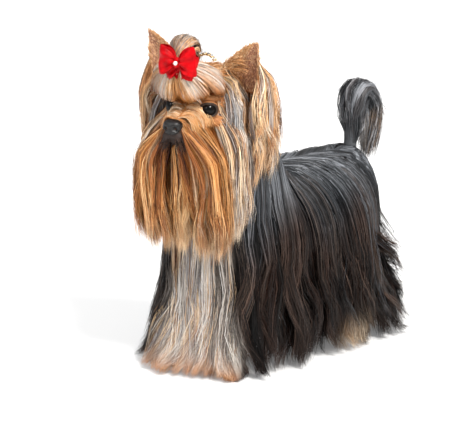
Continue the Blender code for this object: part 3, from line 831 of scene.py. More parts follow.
def level_line(outline, turn):
    """The outline from the top of the back, or of the neck, out and down to the hem at one station."""
    start, way = plan(turn)
    top = outline.ray_cast(start + way * 0.003 + Vector((0, 0, 0.5)), Vector((0, 0, -1)))[0].z - 0.0006
    heights, reach = [], []
    aside = Vector((-way.y, way.x, 0))
    for share in np.linspace(0, 1, RAYS) ** 1.6:
        height = top - (top - 0.0045) * share
        far = start + way * 0.3 + Vector((0, 0, height))
        hits = [outline.ray_cast(far + aside * shift, -way)[0] for shift in RAY_SHIFTS]
        farthest = max([(hit - start).dot(way) for hit in hits if hit is not None], default=0)
        if farthest <= HEM_REACH:
            break
        heights.append(height)
        reach.append(farthest)
    reach = np.array(reach)
    reach[1:-1] = np.median([reach[:-2], reach[1:-1], reach[2:]], axis=0)
    reach = np.concatenate([[0], reach, [reach[-1] + 0.001]])
    heights = np.concatenate([[top], heights, [min(HEM_HEIGHT, heights[-1] - 0.0001)]])
    run = np.insert(np.cumsum(np.hypot(np.diff(reach), np.diff(heights))), 0, 0)
    even = np.linspace(0, run[-1], LEVELS)
    reach, heights = np.interp(even, run, reach), np.interp(even, run, heights)
    return np.array(start) + np.outer(reach, way) + np.outer(heights, UP)


def drape_table(tree):
    """For each station and level: place, outward direction and depth of coat above the skin."""
    outline = solid_tree(*DRAPE_NODES)
    stations = np.arange(STATIONS) / STATIONS * 2
    places = np.array([level_line(outline, turn) for turn in stations])
    for _ in range(4):
        places = (np.roll(places, 1, 0) + 2 * places + np.roll(places, -1, 0)) / 4
        places[:, 1:-1] = (places[:, :-2] + 2 * places[:, 1:-1] + places[:, 2:]) / 4
    normals = np.cross(np.gradient(places, axis=1), np.roll(places, -1, 0) - np.roll(places, 1, 0))
    ways = np.array([plan(turn)[1] for turn in stations])[:, None]
    normals *= np.sign((normals * (ways + UP * 0.3)).sum(-1, keepdims=True))
    normals = unit(unit(normals) + UP * 0.8 * ease(0.10, 0, np.linspace(0, 1, LEVELS))[None, :, None])
    depth = np.array([tree.find_nearest(point)[3] for point in places.reshape(-1, 3).tolist()])
    depth = np.minimum(depth, DEEPEST_COAT).reshape(STATIONS, LEVELS, 1)
    return np.concatenate([places, normals, depth], axis=2)


def on_drape(table, turn, level):
    """Places, outward directions and coat depth between the table's stations and levels."""
    i = (turn % 2) / 2 * STATIONS
    j = np.clip(level, 0, 1) * (LEVELS - 1.001)
    row, column = np.floor(i).astype(int), np.floor(j).astype(int)
    a, b = (i - row)[..., None], (j - column)[..., None]
    here, after = (table[line % STATIONS, column] * (1 - b) + table[line % STATIONS, column + 1] * b
                   for line in (row, row + 1))
    found = here * (1 - a) + after * a
    return found[..., :3], unit(found[..., 3:6]), found[..., 6]


def swept(folded, root, level):
    """How far towards the rump a strand has drifted from its root, most on the flank."""
    amount = MOST_DRIFT * ease(0.12, 0.42, folded) * (1 - 0.85 * ease(0.70, 1.0, folded))
    start, here = np.clip(1 - root, 0, 1), np.clip(1 - level, 0, 1)
    at_top = 0.25 * (start**14 - here**14)
    return amount * (start**3.5 - here**3.5 + 0.15 * ease(0.65, 1.0, level) ** 2 + at_top)


def nearest_point(turns):
    """How far each place round the body lies from the nearest of the points that the hem's locks close to,
    and which of them that is."""
    rng = np.random.default_rng(HEM_SEED)
    points = (np.arange(HEM_POINTS) + rng.uniform(-0.3, 0.3, HEM_POINTS)) * 2 / HEM_POINTS
    gaps = (points - turns[:, None] + 1) % 2 - 1
    pick = np.abs(gaps).argmin(1)
    return gaps[np.arange(len(turns)), pick][:, None], pick


def drape_coat(name, seed, table, tree, span, clumps, slot, nodes=(), locks=6, each=14, roots=(0.0, 0.42),
               steps=12, width=0.00049, light=0.5, ends=(0.95, 1.04), families={}, flicks=(0, 0), wave=0.009,
               grip=0.80, inward=0.0, gather=0.75):
    """Long coat over a span of stations: locks rooted near the top fall over those rooted lower, drift
    back, wave more towards the hem, and some flick outwards at their tips. flicks is (share, reach)."""
    rng = np.random.default_rng(seed)
    hair = Gathered(rng, clumps, locks, each)
    t = np.linspace(0, 1, steps) ** 1.2
    base = span[0] + (span[1] - span[0]) * (hair.clump[:, None] + hair.by_clump(0, 1)) / clumps
    rank = hair.by_clump(0, 1) ** 1.6
    root = np.clip(roots[0] + (roots[1] - roots[0]) * rank + hair.strayed(0, 0.018, 0.008), roots[0], 0.95)
    end = hair.by_clump(*ends) + hair.by_lock(-0.035, 0.02) + hair.strayed(0, 0, 0.007)
    end = np.maximum(end, root + 0.15)
    level = root + (end - root) * t
    folded = 1 - np.abs(1 - base % 2)
    rearward = np.where(base % 2 < 1, 1, -1)
    own_phase, lock_phase = hair.by_clump(0, TURN), hair.by_lock(0, TURN)
    sway = np.sin(TURN * (2.4 * level + 3.2 * folded) + 0.25 * own_phase) * ease(0.35, 0.85, level)
    sway = sway + 0.60 * np.sin(own_phase + TURN * 3.0 * level) * ease(0.40, 0.9, level)
    sway = sway + 0.35 * np.sin(lock_phase + TURN * 3.6 * level) * ease(0.45, 1.0, level)
    turns = base + hair.drawn_in(t, 0.016, grip) + rearward * swept(folded, root, level) + wave * sway
    lock_turns = np.bincount(hair.lock, turns[:, -1]) / np.bincount(hair.lock)
    shift, point = nearest_point(lock_turns[hair.lock])
    turns = turns + gather * shift * ease(0.50, 1.0, t) ** 1.3
    level = root + (end - root - 0.075 * gather * (np.abs(shift) * HEM_POINTS) ** 1.5) * t
    places, normals, depth = on_drape(table, turns, level)
    layer = 0.45 * rank + hair.by_clump(-0.05, 0.45) + hair.drawn_in(t, 0.10)
    layer = layer * (0.10 + 0.90 * ease(0.04, 0.38, level)) + inward
    share, reach = flicks
    flicking = hair.by_clump(0, 1) < share
    layer = layer * (1 - flicking * ease(0.45, 0.80, t))
    target = places - normals * (depth * np.clip(layer, 0, 0.95) * 0.85)[..., None]
    lift = flicking * hair.by_lock(0.45, 1.0) * reach * ease(0.50, 1.0, t) ** 1.4
    lift = lift * (0.52 + 0.98 * ease(0.015, 0.075, places[..., 2]))
    lift = lift + 0.0011 * np.sin(own_phase + TURN * 3.0 * level) * ease(0.3, 0.8, level)
    beyond = (np.clip(level - 1, 0, LONGEST_HEM) * HEM_RUN)[..., None]
    on_floor = ease(0.020, 0.010, places[..., 2:])
    target = target + normals * (lift[..., None] + beyond * on_floor) - UP * beyond * (1 - on_floor)
    paths = hair.frizzed(settled(target, snapped(target[:, 0], tree), 0.07), 0.0008)
    tones = hair.with_families(markings(paths), 0.8 * ease(0.012, 0.03, paths[..., 2]), families)
    chest = chest_share(paths)
    dim = 0.3 * ease(0.35, 0.85, level) * ease(0.5, 0.2, chest)
    # Deep, widened strands that close the gaps are painted darker, as shade inside the coat
    under = (rng.random(hair.count) < 0.12)[:, None] & (layer[:, -1:] > 0.5)
    point_light = np.random.default_rng(HEM_SEED).uniform(-0.4, 0.25, HEM_POINTS)[point][:, None]
    wide = point_light * ease(0.2, 0.7, level) * (1 - 0.7 * chest)
    colours = hair.shades(tones, light, 0.18, 0.10) * (1 - dim - 0.4 * under + wide)[..., None]
    widths = hair.widths(width, 1.35) * (1 + 0.7 * under[:, 0])
    patch = np.hstack([(turns[:, :1] - span[0]) / (span[1] - span[0]), root])
    return joined_coat(name, rng, [(paths, normals, widths, colours, patch)], slot, *nodes)


def make_body_coat(tree):
    """The long coat of chest, flanks and rump, as spans of the drape that overlap at their edges."""
    table = drape_table(tree)
    dark = {"steel": 0.08, "black": 0.25}
    drape_coat("coat_under", 25, table, tree, (0, 2), 130, "black_coat", locks=4, each=5, roots=(0.40, 0.62),
               steps=8, width=0.0016, light=0.35, ends=(0.90, 0.98), wave=0.004, grip=0.1, inward=0.45,
               gather=0)
    drape_coat("coat_chest", 21, table, tree, (-0.17, 0.17), 71, "silver_coat",
               ("leg_front_left", "leg_front_right"), roots=(0.06, 0.55), light=0.59, ends=(0.985, 1.05),
               families={"cream": 0.22, "silver": 0.16, "gold": 0.07, "ash": 0.12, "rust": 0.07},
               flicks=(0.6, 0.007), wave=0.016)
    for side, seed, span in (("left", 22, (0.09, 0.80)), ("right", 23, (1.20, 1.91))):
        drape_coat(f"coat_flank_{side}", seed, table, tree, span, 81, "steel_coat", (f"skirt_{side}",),
                   each=13, steps=14, ends=(0.92, 1.07), light=0.38, families=dark, flicks=(0.55, 0.0085),
                   wave=0.019)
    drape_coat("coat_rump", 24, table, tree, (0.76, 1.24), 66, "steel_coat",
               ("leg_hind_left", "leg_hind_right"), roots=(0.0, 0.68), light=0.46, ends=(0.56, 1.02),
               families=dark, flicks=(1, 0.0175), wave=0.018, grip=0.94)


# Falls: the hanging locks of the head, along sections read from the solids

def fall_sections(name):
    """(up, middle sideways, middle back, half width, half depth) of a solid, from the bottom up."""
    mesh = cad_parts[name].data
    ends = from_head(mesh_points(mesh))[np.array([edge.vertices[:] for edge in mesh.edges])]
    top, bottom = ends[..., 2].max(), ends[..., 2].min()
    rows = []
    for up in np.linspace(top - 0.001, bottom + 0.001, 24)[::-1]:
        gap = ends[..., 2] - up
        crossing = gap[:, 0] * gap[:, 1] < 0
        gap, across = gap[crossing], ends[crossing]
        share = (gap[:, 0] / (gap[:, 0] - gap[:, 1]))[:, None]
        spots = across[:, 0] + (across[:, 1] - across[:, 0]) * share
        low, high = spots.min(0), spots.max(0)
        rows.append((up, *(low + high)[:2] / 2, *(high - low)[:2] / 2))
    rows = np.array(rows)
    lower = rows[:, 0] < (top + bottom) / 2
    rows[lower, 3:] = np.maximum(rows[lower, 3:], rows[:, 3:].max(0) * 0.72)
    return rows


def fall_coat(rng, tree, sections, clumps, ends, families, root_spot, tone, settle=0.42, light=0.54,
              wave=0.17, flick=0.004):
    """Strands of one fall, as strand_mesh takes them. root_spot gives a root in the head's axes from two
    numbers, the second of them running from the front of the fall to its back."""
    hair = Gathered(rng, clumps, 5, 14)
    angle, radius = hair.by_clump(0, TURN), 1 - 0.85 * hair.by_clump(0, 1) ** 1.7
    t = np.linspace(0, 1, 12) ** 1.35
    middles = radius * np.hstack([np.cos(angle), np.sin(angle)])
    own_phase, lock_phase = hair.by_clump(0, TURN), hair.by_lock(0, TURN)
    bend = np.sin(TURN * (1.25 * t + 0.3 * middles[:, 1:]) + 0.2 * own_phase) * ease(0.2, 1, t)
    bend = bend + 0.6 * np.sin(own_phase + 9.0 * t) * t + 0.3 * np.sin(lock_phase + 13.0 * t) * t
    of_clumps = middles[::hair.count // clumps]
    leaders = of_clumps[rng.choice(clumps, clumps // 4, replace=False)]
    nearest = np.linalg.norm(of_clumps[:, None] - leaders, axis=2).argmin(1)
    pull = (leaders[nearest] - of_clumps)[hair.clump]
    close = 0.65 * ease(0.45, 1.0, t)
    sideways = middles[:, :1] + hair.drawn_in(t, 0.17) + wave * bend + pull[:, :1] * close
    bend = np.sin(own_phase * 1.7 + 6.0 * t) * t
    back = middles[:, 1:] + hair.drawn_in(t, 0.17) + wave * bend + pull[:, 1:] * close
    shares = [np.clip(values[:, 0] / 2 + 0.5, 0, 1) for values in (sideways, back)]
    roots = snapped(in_head(root_spot(*shares)), tree)
    start = from_head(roots)[:, 2:]
    length = hair.by_clump(*ends) + hair.by_lock(-0.11, 0.06) - 0.12 * np.linalg.norm(pull, axis=1)[:, None]
    stop = start + (sections[0, 0] - start) * length + hair.strayed(0, 0, 0.002)
    up = start + (np.minimum(stop, start - 0.02) - start) * t
    read = [np.interp(up, sections[:, 0], sections[:, column]) for column in range(1, 5)]
    offset = xyz(sideways * read[2], back * read[3], 0)
    outward = unit(offset + 1e-5)
    lift = hair.by_lock(-0.3, 1.0) * flick * ease(0.7, 1, t)
    spots = xyz(read[0], read[1], up) + offset + outward * lift[..., None]
    paths = hair.frizzed(settled(in_head(spots), roots, settle), 0.0008)
    tones = hair.with_families(tone(sideways, back, up), 0.75, families)
    # Painted shade: strands deep inside the fall are darker, most near their roots
    inner = 1 - 0.45 * ease(0.85, 0.35, radius) * (1 - 0.9 * ease(0.35, 0.9, t))
    colours = hair.shades(tones, light, 0.26, 0.36) * inner[..., None]
    patch = round_patch(from_head(roots), 0.12, 0.5)
    return paths, unit(outward @ HEAD_AXES), hair.widths(HEAD_STRAND), colours, patch


def moustache_fall(rng, tree, side, sign):
    """The long hair of one side of the muzzle, from the bridge and lip down past the chin."""
    def root(out, back):
        out = out if sign > 0 else 1 - out
        return xyz(sign * (0.0085 + 0.015 * back - 0.0045 * out), -0.0605 + 0.045 * back,
                   -0.0205 + 0.0215 * out * (1 - 0.45 * back))

    def tone(sideways, back, up):
        fall = ease(-0.010, -0.145, up)
        lip = ease(0.5, -0.6, sideways * sign) * ease(-0.110, -0.030, up)
        return blended(("tan", 1.0), ("gold", ease(-0.3, 0.6, sideways * sign) * 0.35), ("rust", lip * 0.9),
                       ("gold", fall * 0.60), ("cream", ease(0.70, 1.0, fall) * 0.5))

    return fall_coat(rng, tree, fall_sections(f"moustache_{side}"), 62, (0.72, 1.02),
                     {"gold": 0.20, "cream": 0.13, "rust": 0.34}, root, tone)


def beard_fall(rng, tree):
    """The hair of the chin, darker where it leaves the mouth."""
    def root(out, back):
        return xyz(-0.010 + 0.020 * out, -0.058 + 0.030 * back, -0.029)

    def tone(sideways, back, up):
        fall = ease(-0.03, -0.13, up)
        return blended(("rust", 1.0), ("tan", ease(0.0, 0.45, fall)), ("gold", ease(0.40, 0.8, fall) * 0.95),
                       ("cream", ease(0.75, 1.0, fall) * 0.4))

    return fall_coat(rng, tree, fall_sections("beard"), 48, (0.74, 1.02), {"gold": 0.30, "rust": 0.12},
                     root, tone, light=0.61)


# A fall in front of the ear that no solid gives: rows as fall_sections gives them, for the left side
TEMPLE_ROWS = ((-0.125, 0.044, -0.012, 0.007, 0.012), (-0.080, 0.046, -0.010, 0.010, 0.016),
               (-0.030, 0.046, -0.006, 0.010, 0.017), (0.000, 0.042, -0.003, 0.008, 0.014),
               (0.018, 0.036, -0.003, 0.005, 0.011), (0.040, 0.029, 0.001, 0.003, 0.007))


def temple_fall(rng, tree, side, sign):
    """Hair from the ear's front edge and the side of the crown, hanging in front of the ear."""
    def root(out, back):
        return xyz(sign * (0.022 + 0.006 * back), -0.006 + 0.010 * back, 0.026 + 0.010 * out)

    def tone(sideways, back, up):
        grey = ease(0.025, -0.005, up)
        ash = grey * (0.5 + 0.5 * ease(-0.6, 0.2, sideways * sign))
        return blended(("gold", 1.0), ("cream", 0.4 * ease(0.0, 0.04, up)), ("ash", ash),
                       ("silver", grey * 0.35))

    return fall_coat(rng, tree, np.array(TEMPLE_ROWS) * (1, sign, 1, 1, 1), 23, (0.25, 1.0),
                     {"ash": 0.20, "silver": 0.14, "gold": 0.16, "steel": 0.08}, root, tone, settle=0.25)


def cheek_fall(rng, tree, side, sign):
    """Hair in front of the ear: cream in front, with silver and dark strands behind."""
    def root(out, back):
        out = out if sign > 0 else 1 - out
        return xyz(sign * (0.024 + 0.010 * back), -0.020 + 0.026 * back, -0.018 + 0.028 * out)

    def tone(sideways, back, up):
        fall = ease(0.0, -0.12, up)
        return blended(("gold", 1.0), ("cream", 0.5 + 0.4 * fall), ("ash", ease(0.20, 0.70, back) * 0.75),
                       ("cream", ease(0.75, 1.0, fall) * 0.6))

    return fall_coat(rng, tree, fall_sections(f"cheek_fall_{side}"), 30, (0.80, 1.0),
                     {"ash": 0.16, "gold": 0.08, "rust": 0.07, "silver": 0.22, "steel": 0.04}, root, tone)


def fringe_fall(rng, tree, side, sign):
    """Long hair from the rim and root of an ear, hanging down the side of the head."""
    def root(out, back):
        out = out if sign > 0 else 1 - out
        from_base = np.clip(out / 0.72 - 0.39, 0, 1)
        across = 1 - (1 - back) * (0.25 + 0.85 * ease(0.25, 0.05, from_base))
        rim = ear_points(side, sign, across, 0.66 * from_base**1.3)
        low = xyz(sign * (0.031 + 0.002 * out), -0.002 + 0.028 * back, 0.004 + 0.02 * out)
        return np.where((out > 0.28)[:, None], rim, low)

    def tone(sideways, back, up):
        pale = 0.24 + 0.45 * ease(-0.03, -0.08, up)
        inner = ease(-0.1, -0.8, sideways * sign) * ease(0.0, -0.7, back)
        return blended(("gold", 1.0), ("tan", ease(0.02, -0.05, up) * 0.3), ("cream", pale),
                       ("steel", ease(0.35, 0.95, back) * 0.45), ("ash", inner * 0.4))

    return fall_coat(rng, tree, fall_sections(f"ear_fringe_{side}"), 33, (0.42, 0.84),
                     {"cream": 0.26, "rust": 0.20, "tan": 0.12, "ash": 0.07}, root, tone, settle=0.25,
                     wave=0.20, flick=0.006)


def make_moustache(side, sign, tree):
    rng = np.random.default_rng({"left": 31, "right": 32}[side])
    return joined_coat(f"coat_moustache_{side}", rng, [moustache_fall(rng, tree, side, sign)], "tan_coat",
                       f"moustache_{side}")


def make_beard(tree):
    rng = np.random.default_rng(33)
    return joined_coat("coat_beard", rng, [beard_fall(rng, tree)], "tan_coat", "beard")


def make_side_falls(name, seed, tree, falls, *nodes):
    """One piece of the falls on both sides of the head."""
    rng = np.random.default_rng(seed)
    parts = [fall(rng, tree, side, sign) for side, sign in SIDES for fall in falls]
    return joined_coat(name, rng, parts, "gold_coat", *nodes)


# Hair gathered on top of the head, and the tail

TIE = (-0.0050, -0.0440, 0.0460)
DOME_MIDDLE = (-0.0048, -0.0203, 0.0215)
DOME_HALF = (0.0372, 0.0290, 0.0265)


def make_forelock(tree):
    """Hair of the brow and crown, bulging over the brow and drawn up to the tie."""
    rng = np.random.default_rng(36)
    hair = Gathered(rng, 64, 5, 14)
    t = np.linspace(0, 1, 11)
    around = hair.by_clump(-2.5, 2.5) + hair.strayed(0, 0.09, 0.03)
    rise = np.radians(-44 + 84 * hair.by_clump(0, 1) ** 1.6 + hair.by_lock(-7, 7) + hair.strayed(0, 0, 2))
    start = np.hstack([np.sin(around) * np.cos(rise), -np.cos(around) * np.cos(rise), np.sin(rise)])
    start[:, 2:] = np.maximum(start[:, 2:], -0.74 + 0.28 * np.abs(np.sin(around)))
    tie = (np.array(TIE) - DOME_MIDDLE) / DOME_HALF
    goal = unit(tie)
    gap = np.arccos(np.clip(start @ goal, -1, 1))[:, None, None]
    swing = t[:, None] ** 0.9
    way = np.sin(gap * (1 - swing)) * start[:, None] + np.sin(gap * swing) * goal
    layer = hair.by_clump(0.0, 0.10)[..., None] + rng.uniform(0.0, 0.06, (hair.count, 1, 1))
    tied = np.linalg.norm(tie) * swing**2 * rng.normal(1.0, 0.03, (hair.count, 1, 1))
    spots = np.array(DOME_MIDDLE) + unit(way) * ((1.03 - layer) * (1 - swing**2) + tied) * DOME_HALF
    target = in_head(spots + rng.normal(0, 0.0010, (hair.count, 1, 3)))
    roots = snapped(in_head(np.array(DOME_MIDDLE) + start * np.array(DOME_HALF) * 0.75), tree)
    paths = hair.frizzed(settled(target, roots, 0.12), 0.0004)
    side = np.sin(around)
    # The silver bands on the dome's left and upper right are painted highlights
    painted_highlight_band = bell(side + 0.62, 0.24) + 0.9 * bell(side - 0.78, 0.20) * ease(0.15, 0.4, t)
    tones = blended(("gold", 1.0), ("tan", ease(0.55, 0.15, t) * 0.8), ("silver", np.clip(painted_highlight_band, 0, 1)),
                    ("silver", 0.35 * ease(0.5, 1.0, t)))
    tones = hair.with_families(tones, 0.7, {"cream": 0.12, "tan": 0.14, "silver": 0.10})
    colours = hair.shades(tones, 0.62, 0.10, 0.05)
    patch = np.hstack([around / 6 + 0.5, rise / 1.6 + 0.4])
    parts = [(paths, unit(target - in_head(DOME_MIDDLE)), hair.widths(TOP_STRAND), colours, patch)]
    return joined_coat("coat_forelock", rng, parts, "silver_coat", "forelock", roll=0.22)


def make_topknot():
    """The tied hair, rolled up and back from the tie and tucked under behind it."""
    rng = np.random.default_rng(37)
    hair = Gathered(rng, 28, 4, 15)
    low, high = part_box("topknot")
    t = np.linspace(0, 1, 12)
    lean = hair.by_clump(-1.45, 1.45) + hair.by_lock(-0.12, 0.12) + hair.strayed(0, 0, 0.04)
    lean = np.clip(lean, -1.53, 1.53)
    turn = np.radians(-118 + 300 * t) + hair.strayed(0, 0, 0.05)
    depth = 1 - 0.75 * rng.uniform(0, 1, (hair.count, 1, 1)) ** 2
    ring = xyz(np.sin(lean), np.cos(lean) * np.sin(turn), np.cos(lean) * np.cos(turn))
    spots = from_head(middle("topknot")) + ring * (0.0150, 0.0200, (high.z - low.z) / 2) * depth
    tie = np.array(TIE) + rng.normal(0, 0.0012, (hair.count, 3))
    paths = hair.frizzed(settled(in_head(spots), in_head(tie), 0.22), 0.0006)
    tones = blended(("silver", 1.0), ("cream", 0.4), ("rust", ease(0.45, 0.10, t) * 0.6))
    tones = hair.with_families(tones, 0.75, {"gold": 0.18, "ash": 0.22, "rust": 0.10})
    colours = hair.shades(tones, 0.50, 0.15, 0.1)
    patch = np.hstack([lean / 3 + 0.5, rng.uniform(0.3, 0.7, (hair.count, 1))])
    parts = [(paths, unit(ring @ HEAD_AXES), hair.widths(TOP_STRAND), colours, patch)]
    return joined_coat("coat_topknot", rng, parts, "silver_coat", "topknot", roll=0.25)


def make_tail_coat(tree):
    """The tail's feathering: up its stem, over its top, and hanging behind it to a point."""
    rng = np.random.default_rng(38)
    hair = Gathered(rng, 53, 6, 13)
    low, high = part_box("tail")
    plume_low, plume_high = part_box("tail_plume")
    stem, back, top = low.y + 0.0135, plume_high.y, high.z
    run = spline([
        (stem + 0.001, low.z - 0.004, 0.0185), (stem - 0.002, 0.220, 0.0130), (stem - 0.002, 0.246, 0.0120),
        (stem + 0.002, top - 0.019, 0.0120), (stem + 0.010, top - 0.015, 0.0115),
        (back - 0.020, top - 0.030, 0.0110), (back - 0.016, 0.238, 0.0100), (back - 0.016, 0.212, 0.0085),
        (back - 0.018, plume_low.z - 0.006, 0.0040)], 8)
    t = np.linspace(0, 1, 12)
    begin = hair.by_clump(0, 1) ** 1.3 * 0.44 + hair.by_lock(-0.02, 0.02)
    finish = begin + hair.by_clump(0.28, 0.80) + hair.by_lock(-0.06, 0.04)
    finish = np.minimum(finish, hair.by_lock(0.92, 1.0))
    finish = np.where((finish > 0.48) & (finish < 0.80), 0.80 + 0.6 * (finish - 0.48), finish)
    share = np.clip(begin + (finish - begin) * t, 0, 1)
    rows = np.hstack([run, unit(np.gradient(run[:, :2], axis=0))])
    y, z, wide, way_y, way_z = (np.interp(share, np.linspace(0, 1, len(run)), column) for column in rows.T)
    angle, far = hair.by_clump(-math.pi, math.pi), 1 - 0.8 * hair.by_clump(0, 1) ** 1.6
    phase = hair.by_clump(0, TURN)
    across = far * np.sin(angle) + hair.drawn_in(t, 0.22) + 0.22 * np.sin(phase + 7 * t) * t
    outer = far * np.cos(angle) + hair.drawn_in(t, 0.22) + 0.25 * np.sin(phase * 1.6 + 6 * t) * t
    outer = outer + hair.by_lock(-0.6, 0.2) * ease(0.7, 1, t)
    shift = xyz(across * wide * 1.15, -way_z * outer * wide, way_y * outer * wide)
    target = xyz(SPINE_X, y, z) + shift
    paths = hair.frizzed(settled(target, snapped(target[:, 0] - shift[:, 0] * 0.6, tree), 0.2), 0.0009)
    beige = ease(0.62, 0.80, share) * ease(0.3, 0.0, begin)
    tones = blended(("slate", 1.0), ("black", 0.10 + 0.35 * ease(0.7, 1.0, share)), ("cream", 0.6 * beige))
    tones = hair.with_families(tones, 0.7, {"ash": 0.20, "black": 0.26})
    colours = hair.shades(tones, 0.42, 0.20, -0.05)
    patch = np.hstack([angle / TURN + 0.5, begin * 2])
    parts = [(paths, unit(shift + 1e-5), hair.widths(TAIL_STRAND), colours, patch)]
    return joined_coat("coat_tail", rng, parts, "steel_coat", "tail_plume")


# Short fur on the face, ears and feet

FACE_TUFTS = 10600
EAR_TUFTS = 9000
FOOT_TUFTS = 2700
NOSE_ROOT = np.array((0, -0.060, -0.004))


def sampled(rng, skin, count, wanted):
    """Random places on the skin's faces whose middles the test wants, with outward directions."""
    mesh = skin.data
    mesh.calc_loop_triangles()
    corners = np.empty(len(mesh.loop_triangles) * 3, np.int32)
    mesh.loop_triangles.foreach_get("vertices", corners)
    points = mesh_points(mesh)[corners.reshape(-1, 3)]
    normals = np.cross(points[:, 1] - points[:, 0], points[:, 2] - points[:, 0])
    weight = np.linalg.norm(normals, axis=1) * wanted(points.mean(1))
    pick = rng.choice(len(points), count, p=weight / weight.sum())
    a, b = np.sqrt(rng.random((count, 1))), rng.random((count, 1))
    first, second, third = np.moveaxis(points[pick], 1, 0)
    return first * (1 - a) + second * a * (1 - b) + third * a * b, unit(normals[pick])


def short_fur(rng, places, normals, lie, length, lift, tones, width=0.00040, light=0.5):
    """Small tufts lying along the skin in the direction of lie, lifted a little off it."""
    hair = Gathered(rng, len(places), 1, 1)
    normals = np.repeat(normals[:, None], 5, 1)
    along = unit(lie - normals[:, 0] * (lie * normals[:, 0]).sum(-1, keepdims=True))
    along = unit(along + rng.normal(0, 0.11, along.shape))
    t = np.linspace(0, 1, 5)[None, :, None]
    length = (length * rng.uniform(0.7, 1.3, len(places)))[:, None, None]
    rise = t * lift * (1.35 - 0.55 * t)
    paths = places[:, None] + length * (along[:, None] * t * (1 - 0.25 * lift) + normals * rise)
    paths = paths - normals * 0.0003 * (1 - t) - UP * length * 0.25 * t**2
    paths = hair.frizzed(paths, 0.0002)
    colours = hair.shades(np.repeat(tones[:, None], 5, 1), light, 0.10, 0.14)
    return paths, normals, hair.widths(width), colours, round_patch(from_head(places), 0.16, 0.4)


def make_face_fur(skin):
    """Short fur of the face and skull: away from the nose, over the cheeks and back to the neck."""
    rng = np.random.default_rng(39)

    def wanted(points):
        spots = from_head(points)
        near = np.linalg.norm(spots * (1, 0.7, 0.9), axis=-1) < 0.053
        open_face = (spots[:, 1] > -0.064) | (spots[:, 2] < -0.0185)
        return near * (near_eyes(spots) > 0.0012) * open_face * (ear_inside(spots) < 0.3)

    places, normals = sampled(rng, skin, FACE_TUFTS, wanted)
    spots = from_head(places)
    side, back, up = spots.T
    far = np.linalg.norm(spots - NOSE_ROOT, axis=1)
    lip = ease(-0.008, -0.015, up) * ease(-0.036, -0.048, back)
    length = 0.0035 + 0.010 * ease(0.008, 0.050, far) + 0.006 * lip
    length *= 1 - 0.70 * ease(0.009, 0.001, near_eyes(spots)) * ease(0.0, -0.010, back)
    length *= 1 - 0.5 * ease(0.004, 0.010, up) * ease(0.0, -0.010, back)
    nape = ease(0.002, 0.022, back)
    length += 0.005 * nape
    nape = nape[:, None]
    lie = unit(spots - NOSE_ROOT) + xyz(np.sign(side) * 0.5, 0, -0.55 * (up < 0.008))
    lie = lie * (1 - nape) + np.array((0, 0.5, -1.0)) * nape
    bridge = ease(0.010, 0.002, np.abs(side)) * ease(-0.020, -0.030, back) * ease(-0.010, -0.006, up)
    pale = bridge[:, None, None] * 0.7
    tones = markings(places) * (1 - pale) + TONES["cream"] * pale
    lift = (0.24 - 0.16 * nape)[..., None]
    parts = [short_fur(rng, places, normals, lie @ HEAD_AXES, length, lift, tones)]
    return joined_coat("coat_face", rng, parts, "tan_coat")


def make_bridge_wisps(tree):
    """Longer wisps that part along the bridge of the nose and fall over the cheeks to either side."""
    rng = np.random.default_rng(42)
    hair = Gathered(rng, 30, 4, 11)
    t = np.linspace(0, 1, 10)
    sign = np.where(hair.clump[:, None] % 2 == 0, 1.0, -1.0)
    back = hair.by_clump(-0.0555, -0.0300) + hair.by_lock(-0.0015, 0.0015) + hair.strayed(0, 0, 0.0006)
    roots = snapped(in_head(np.hstack([sign * hair.by_lock(0.0005, 0.0060), back, 0 * back + 0.006])), tree)
    start = from_head(roots)[:, None]
    reach = hair.by_clump(0.7, 1.2) + hair.by_lock(-0.12, 0.12)
    out = xyz(sign * 0.0165 * reach * np.sin(t * 1.45), 0.0040 * reach * t,
              0.0030 * np.sin(math.pi * t) - 0.020 * reach * t**2.2)
    spread = hair.drawn_in(t, 0.0011)[..., None] * np.array((0.3, 1.0, 0.2))
    paths = hair.frizzed(in_head(start + out + spread), 0.0006)
    tones = blended(("gold", 1.0), ("cream", 0.5 * (1 - t)))
    tones = hair.with_families(tones, 0.8, {"tan": 0.30, "cream": 0.25})
    colours = hair.shades(tones, 0.55, 0.13, 0.12)
    outward = np.broadcast_to(unit(np.array((0.0, -0.5, 1.0))) @ HEAD_AXES, paths.shape)
    patch = np.hstack([sign * 0.2 + 0.5, start[:, 0, 2:] / 0.12 + 0.5])
    parts = [(paths, outward, hair.widths(FACE_STRAND), colours, patch)]
    return joined_coat("coat_bridge", rng, parts, "tan_coat")


def make_ear_fur(skin):
    """Short tan fur up the ears, with finer gold wisps inside and a soft line past the rims."""
    rng = np.random.default_rng(40)

    def wanted(points):
        spots = from_head(points)
        above = (spots[:, 2] > 0.030) | (ear_inside(spots) > 0.2)
        return above * (np.abs(spots[:, 0]) > 0.016)

    places, normals = sampled(rng, skin, EAR_TUFTS, wanted)
    spots = from_head(places)
    inside, up = ear_inside(spots), spots[:, 2]
    lie = xyz(np.sign(spots[:, 0]) * 0.40, -0.10, 1.0)
    length = (0.0062 - 0.0010 * inside) * (1 - 0.45 * ease(0.045, 0.062, up))
    # Rust low in the ear hollow is painted shade; the blush there is the ear's own colour
    tones = blended(("tan", 1.0), ("gold", 0.7), ("cream", 0.4), ("blush", 0.34 * inside),
                    ("rust", 0.42 * inside * ease(0.055, 0.028, up)),
                    ("gold", 0.4 * ease(0.035, 0.06, up) * (1 - inside)))
    keep = rng.random(len(spots)) > inside * 0.20
    kept = (values[keep] for values in (places, normals, lie @ HEAD_AXES, length))
    parts = [short_fur(rng, *kept, 0.12, tones[keep], light=0.72)]
    return joined_coat("coat_ears", rng, parts, "tan_coat")


